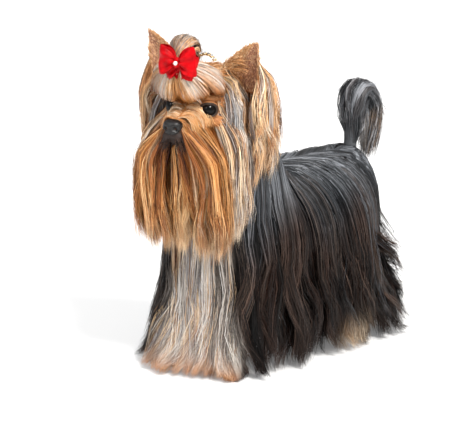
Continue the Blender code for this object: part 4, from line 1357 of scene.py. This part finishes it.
def make_nape_fall(tree):
    """Hair of the back of the skull, falling over the neck and darkening into its coat."""
    rng = np.random.default_rng(43)
    outline = solid_tree("head", "neck", "trunk")
    hair = Gathered(rng, 26, 5, 11)
    t = np.linspace(0, 1, 12)
    around = hair.by_clump(-1.35, 1.35) + hair.drawn_in(t, 0.08)
    around = around + 0.05 * np.sin(hair.by_clump(0, 6) + 5 * t) * t
    start = hair.by_clump(-0.010, 0.028) + hair.by_lock(-0.003, 0.003)
    fall = hair.by_clump(0.040, 0.066) + hair.by_lock(-0.008, 0.004)
    height = HEAD_MIDDLE[2] + start - fall * t**1.1
    way = xyz(np.sin(around), np.cos(around), 0) @ HEAD_AXES
    axis = HEAD_MIDDLE + HEAD_AXES[1] * 0.012
    lean = (NECK_FOOT - axis) * ease(HEAD_MIDDLE[2], 0.20, height)[..., None]
    centre = (axis + lean) * (1, 1, 0) + height[..., None] * UP
    target = centre + way * 0.03
    outside = centre + way * 0.15
    for spot, far, line in zip(*(places.reshape(-1, 3) for places in (target, outside, way))):
        hit = outline.ray_cast(Vector(far), -Vector(line), 0.15)[0]
        if hit is not None:
            spot[:] = hit
    target = target + way * (0.0014 - hair.by_clump(0, 0.003))[..., None]
    target[:, 1:-1] = (target[:, :-2] + 2 * target[:, 1:-1] + target[:, 2:]) / 4
    paths = hair.frizzed(settled(target, snapped(target[:, 0], tree), 0.15), 0.0006)
    dark = ease(HEAD_MIDDLE[2] - 0.008, HEAD_MIDDLE[2] - 0.040, paths[..., 2])
    tones = blended(("tan", 1.0), ("gold", 0.3), ("steel", dark))
    tones = hair.with_families(tones, 0.6 * (1 - dark), {"gold": 0.15, "rust": 0.15})
    colours = hair.shades(tones, 0.50, 0.14, -0.05)
    patch = np.hstack([around[:, :1] / 8 + 0.5, start * 5 + 0.5])
    parts = [(paths, way, hair.widths(HEAD_STRAND), colours, patch)]
    return joined_coat("coat_nape", rng, parts, "tan_coat", roll=0.3)


def make_foot_fur(skin):
    """Short tan fur on the feet and the lower legs."""
    rng = np.random.default_rng(41)
    places, normals = sampled(rng, skin, FOOT_TUFTS, lambda points: points[:, 2] < 0.055)
    lie = normals * (0.5, 0.5, 0) - (0, 0.35, 1.0)
    low = ease(0.030, 0.004, places[:, 2])
    parts = [short_fur(rng, places, normals, lie, 0.011 - 0.006 * low, 0.16, markings(places), 0.0005)]
    return joined_coat("coat_feet", rng, parts, "tan_coat")


# Eyes, nose and claws

NOSE_MIDDLE = (0, -0.0620, -0.0110)
NOSE_HALF = (0.0097, 0.0072)


def make_eye(side, sign):
    """A ball with a raised clear front, and how far each place lies from its pupil."""
    angles = np.linspace(0.02, math.pi - 0.02, 44)
    bulges = EYE_RADIUS * (1 + 0.035 * ease(0.75, 0.2, angles))
    rings = [eye_ring(sign, angle, bulge - 0.0002) for angle, bulge in zip(angles, bulges)]
    piece = round_piece(f"eye_{side}_wet", [rings], "eye", "eye", f"eye_{side}")
    layer = piece.data.attributes.new("from_pupil", "FLOAT", "POINT")
    layer.data.foreach_set("value", np.append(np.repeat(angles / 1.25, 56), (0, 2.5)).astype(np.float32))


def make_nose():
    """The nose pad: square shouldered, with comma nostrils and a groove down its middle."""
    low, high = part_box("nose")
    half_sizes = (*NOSE_HALF, (high.z - low.z) / 2)
    rings = []
    for ring in ball_rings(48, 72):
        ring /= ((np.abs(ring) ** 2.5).sum(1) ** (1 / 2.5))[:, None]
        for sign in (1, -1):
            pit = bell(np.hypot((ring[:, 0] - sign * 0.50) / 0.20, (ring[:, 2] + 0.05) / 0.24), 1)
            slit = bell(ring[:, 2] + 0.34 + 0.25 * (np.abs(ring[:, 0]) - 0.8), 0.10)
            slit *= ease(0.42, 0.60, ring[:, 0] * sign)
            ring[:, 1] += (0.55 * pit + 0.30 * slit * (1 - pit)) * (ring[:, 1] < 0.1)
        groove = bell(ring[:, 0], 0.085) * ease(0.25, -0.1, ring[:, 2])
        ring[:, 1] += 0.22 * groove * (ring[:, 1] < 0)
        ring[:, 0] *= 1 - 0.22 * ease(0, -1, ring[:, 2])
        rings.append(in_head(ring * half_sizes + NOSE_MIDDLE))
    round_piece("nose_pad", [rings], "nose", "nose_leather", "nose")


def make_claws():
    """Four short dark claws on each paw."""
    shapes = []
    bends = np.array(((0, 0.002, 0.0006), (0, -0.0015, -0.0002), (0, -0.0036, -0.0028)))
    for foot in FEET:
        for base in toe_places(foot, 0.0160, 0.0048):
            path = spline(base + bends, 5)
            shapes.append(tube(np.column_stack([path, np.linspace(0.0011, 0.0002, len(path))]), 10))
    round_piece("claws", shapes, "claw", "nose_leather")


# Bow and clip

BOW_MIDDLE = from_head(middle("bow_knot"))
SATIN_THICKNESS = 0.0003
PEARL_RADIUS = 0.0021
STONE_SIZE = 1.25
PRONG_RADIUS = 0.00018
BAR_HALF = (0.0016, 0.0007)


def ribbon_piece(name, grid, *nodes):
    """A sheet of satin from a grid of places in the head's axes, given its thickness and a weave map."""
    rows, columns = grid.shape[:2]
    mesh = mesh_of(name, [(in_head(grid), quads(rows, columns, False, False))])
    flat = np.stack(np.meshgrid(np.linspace(0, 1, columns), np.linspace(0, 1, rows)), -1).reshape(-1, 2)
    corners = np.empty(len(mesh.loops), np.int32)
    mesh.loops.foreach_get("vertex_index", corners)
    layer = mesh.uv_layers.new(name="UVMap")
    layer.uv.foreach_set("vector", flat[corners].astype(np.float32).ravel())
    piece = new_object(name, mesh, FINISHES["satin"])
    thick = piece.modifiers.new("thickness", "SOLIDIFY")
    thick.thickness = SATIN_THICKNESS
    thick.offset = 0
    soft = piece.modifiers.new("softened", "SUBSURF")
    soft.levels = soft.render_levels = 1
    applied(piece).shade_smooth()
    declare(piece, "red_satin", *nodes)


def bow_loop(sign, length, half_high, puff, tilt, shift):
    """One loop of ribbon: out from the knot and back, opened by its puff and pleated where it is pinched."""
    turn = np.linspace(0.06, TURN - 0.06, 46)[:, None]
    out = (1 - np.cos(turn)) / 2
    across = np.linspace(-1, 1, 22)
    half = 0.0032 + (half_high - 0.0032) * np.sin(np.minimum(out * 1.25, 1) * math.pi / 2) ** 0.8
    pleat = 0.0013 * (1.2 - out) * np.sin(across * 9 + sign * 0.6 + out)
    pleat = pleat + 0.0008 * np.sin(across * 5 + 2 * turn)
    depth = puff * np.sin(turn) * (1 - 0.35 * across**2) + pleat
    end = length * (out - 0.05 * across**2 * out)
    grid = xyz(sign * (0.0022 + end), depth, across * half + 0.0012 * out * np.sin(across * 3))
    turned = np.array(Matrix.Rotation(math.radians(sign * tilt), 3, "Y"))
    return grid @ turned.T + BOW_MIDDLE + shift


def bow_end(sign):
    """A short tail of ribbon below the knot, with a notch in its end."""
    down = np.linspace(0, 1, 20)[:, None]
    across = np.linspace(-1, 1, 12)[None]
    sideways = sign * (0.0018 + 0.0065 * down) + across * (0.0026 + 0.0036 * down)
    back = 0.0010 + 0.0022 * np.sin(down * 3 + across * 1.2 + sign)
    notch = 0.0045 * (1 - np.abs(across)) * ease(0.6, 1, down)
    return BOW_MIDDLE + xyz(sideways, back, -0.002 - 0.0150 * down + notch)


def make_bow():
    """Satin bow: two loops a side, one over the other, a pleated knot, two notched ends and a pearl."""
    for side, sign in SIDES:
        front = bow_loop(sign, 0.0172, 0.0140, 0.0056, -4, (0, -0.0015, 0.0010))
        back = bow_loop(sign, 0.0158, 0.0125, 0.0044, 20, (0, 0.0034, 0.0000))
        ribbon_piece(f"bow_loop_{side}_front", front, f"bow_loop_{side}")
        ribbon_piece(f"bow_loop_{side}_back", back)
        ribbon_piece(f"bow_end_{side}_satin", bow_end(sign), f"bow_end_{side}")
    cosine, sine = circle(40)
    rings = []
    for up in np.linspace(-1, 1, 15)[1:-1]:
        bulge = (1 - abs(up) ** 2.6) ** 0.5 * (1 + 0.07 * np.sin(np.arctan2(sine, cosine) * 7 + up * 1.5))
        ring = xyz(cosine * 0.0043 * bulge, sine * 0.0040 * bulge, up * 0.0056)
        rings.append(in_head(BOW_MIDDLE + (0, -0.0012, 0) + ring))
    round_piece("bow_knot_satin", [rings], "satin", "red_satin", "bow_knot")
    pearl = in_head(ball(from_head(middle("bow_pearl")), (PEARL_RADIUS,) * 3, 22, 32))
    round_piece("bow_pearl_round", [pearl], "pearl", "pearl", "bow_pearl")


def crystal_tree(stone, seat):
    """Geometry nodes that set a stone and its pronged seat at each point of the clip's arc."""
    tree = bpy.data.node_groups.new("clip_stones", "GeometryNodeTree")
    tree.interface.new_socket("Geometry", in_out="INPUT", socket_type="NodeSocketGeometry")
    size = tree.interface.new_socket("Stone size", in_out="INPUT", socket_type="NodeSocketFloat")
    size.default_value = 1.0
    tree.interface.new_socket("Geometry", in_out="OUTPUT", socket_type="NodeSocketGeometry")
    source, sink = tree.nodes.new("NodeGroupInput"), tree.nodes.new("NodeGroupOutput")
    join = tree.nodes.new("GeometryNodeJoinGeometry")
    for made, finish in ((stone, FINISHES["crystal"]), (seat, FINISHES["metal"])):
        info, place, real, dress = (tree.nodes.new("GeometryNode" + kind) for kind in (
            "ObjectInfo", "InstanceOnPoints", "RealizeInstances", "SetMaterial"))
        info.inputs["Object"].default_value = made
        dress.inputs["Material"].default_value = finish
        for start, result, end, name in (
                (source, "Geometry", place, "Points"), (info, "Geometry", place, "Instance"),
                (source, "Stone size", place, "Scale"), (place, "Instances", real, "Geometry"),
                (real, "Geometry", dress, "Geometry"), (dress, "Geometry", join, "Geometry")):
            tree.links.new(start.outputs[result], end.inputs[name])
    tree.links.new(join.outputs["Geometry"], sink.inputs["Geometry"])
    return tree, size.identifier


def make_clip():
    """A curved silver bar that carries five cut stones in pronged seats."""
    stones = [f"clip_stone_{number}" for number in range(1, 6)]
    spots = [np.array(middle(name)) for name in stones]
    radius = (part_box(stones[0])[1].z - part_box(stones[0])[0].z) / 2

    def turned(sides, *profile):
        cosine, sine = circle(sides)
        return np.array([xyz(cosine * wide, sine * wide, height) * radius for wide, height in profile])

    facets = turned(8, (0.05, -0.9), (0.95, -0.1), (1.0, 0.25), (0.62, 0.75))
    stone = new_object("stone_cut", mesh_of("stone_cut", [closed_rings(facets)]), FINISHES["crystal"])
    cup = turned(20, (0.80, -0.75), (1.12, -0.15), (1.14, 0.12), (1.0, 0.12), (0.85, -0.55))
    shapes = [(cup, quads(5, 20, True))]
    for prong in turned(4, (1.08, -0.4), (1.12, 0.2), (0.86, 0.52)).swapaxes(0, 1):
        shapes.append(closed_rings(tube(np.column_stack([prong, [PRONG_RADIUS] * 3]), 8)))
    seat = new_object("seat_pronged", mesh_of("seat_pronged", shapes), FINISHES["metal"])
    points = bpy.data.meshes.new("clip_stones_set")
    points.from_pydata([tuple(spot) for spot in spots], [], [])
    set_stones = new_object("clip_stones_set", points, FINISHES["crystal"])
    setting = set_stones.modifiers.new("stones", "NODES")
    setting.node_group, size = crystal_tree(stone, seat)
    setting[size] = STONE_SIZE
    applied(set_stones)
    for helper in (stone, seat):
        bpy.data.objects.remove(helper)
    declare(set_stones, "crystal", *stones)
    arc = spline([spot - UP * radius * 0.9 for spot in spots], 6)
    along = unit(np.gradient(arc, axis=0))
    across = unit(np.cross(along, UP))
    frames = np.stack([across * BAR_HALF[0], np.cross(across, along) * BAR_HALF[1]], 1)
    rings = arc[:, None] + np.transpose(circle(16)) @ frames
    round_piece("clip_bar_curved", [rings], "metal", "clip_metal", "clip_bar")


# Light, floor and camera

CAMERA_AIM = Vector((0.0010, -0.0681, 0.1660))
CAMERA_TURN = 48.0
CAMERA_RISE = 16.0
CAMERA_DISTANCE = 1.5
CAMERA_LENS = 117.65


def aimed(name, data, turn, rise, distance):
    """A lamp or camera at a turn round the aim and a rise above it, in degrees, looking at the aim."""
    a, e = math.radians(turn), math.radians(rise)
    away = Vector((math.sin(a) * math.cos(e), -math.cos(a) * math.cos(e), math.sin(e))) * distance
    holder = bpy.data.objects.new(name, data)
    holder.location = CAMERA_AIM + away
    holder.rotation_euler = (CAMERA_AIM - holder.location).to_track_quat("-Z", "Y").to_euler()
    bpy.context.scene.collection.objects.link(holder)
    return holder


def make_light(name, turn, rise, distance, size, power, colour=(1, 1, 1)):
    lamp = bpy.data.lights.new(name, "AREA")
    lamp.shape = "DISK"
    lamp.size = size
    lamp.energy = power
    lamp.color = colour
    aimed(name, lamp, turn, rise, distance)


def make_studio():
    """Pale floor, soft lights with the key to the right of the camera, and the camera itself."""
    material, tree = new_material("studio_floor")
    tint = ramp(tree, noise(tree, 3, 2), (0.3, 0.88), (0.7, 0.91))
    shader = shaded(tree, tint, Roughness=0.8, Emission_Color=(1, 1, 1, 1))
    far = tree.nodes.new("ShaderNodeVectorMath")
    far.operation = "LENGTH"
    tree.links.new(add_node(tree, "TexCoord", "Object"), far.inputs[0])
    glow = add_node(tree, "MapRange", "Result", [("Value", far.outputs["Value"])], From_Min=0.5, From_Max=2.0,
                    To_Min=0.16, To_Max=0.75)
    tree.links.new(glow, shader.inputs["Emission Strength"])
    floor_points = [(x, y, 0) for x, y in ((-9, -9), (9, -9), (9, 9), (-9, 9))]
    new_object("studio_floor", mesh_of("studio_floor", [(floor_points, [(0, 1, 2, 3)])]), material)
    make_light("key", CAMERA_TURN + 30, 50, 1.7, 0.45, 42, (1.0, 0.98, 0.95))
    make_light("fill", CAMERA_TURN - 50, 34, 2.0, 0.6, 15, (0.98, 0.99, 1.0))
    make_light("rim", CAMERA_TURN + 160, 55, 1.7, 1.5, 11)
    world = bpy.data.worlds.new("studio")
    world.use_nodes = True
    set_inputs(world.node_tree.nodes["Background"], {"Color": (1, 1, 1, 1), "Strength": 0.50})
    bpy.context.scene.world = world
    bpy.context.scene.view_settings.view_transform = "Standard"
    camera = bpy.data.cameras.new("camera")
    camera.lens = CAMERA_LENS
    bpy.context.scene.camera = aimed("camera", camera, CAMERA_TURN, CAMERA_RISE, CAMERA_DISTANCE)


def build():
    skin = make_skin()
    tree = tree_of(skin.data)
    make_body_coat(tree)
    for side, sign in SIDES:
        make_moustache(side, sign, tree)
        make_eye(side, sign)
    make_beard(tree)
    make_side_falls("coat_cheeks", 34, tree, (cheek_fall, temple_fall), "cheek_fall_left", "cheek_fall_right")
    make_side_falls("coat_ear_fringes", 35, tree, (fringe_fall,), "ear_fringe_left", "ear_fringe_right")
    make_forelock(tree)
    make_topknot()
    make_tail_coat(tree)
    make_face_fur(skin)
    make_bridge_wisps(tree)
    make_ear_fur(skin)
    make_nape_fall(tree)
    make_foot_fur(skin)
    make_nose()
    make_claws()
    make_bow()
    make_clip()
    make_studio()


build()
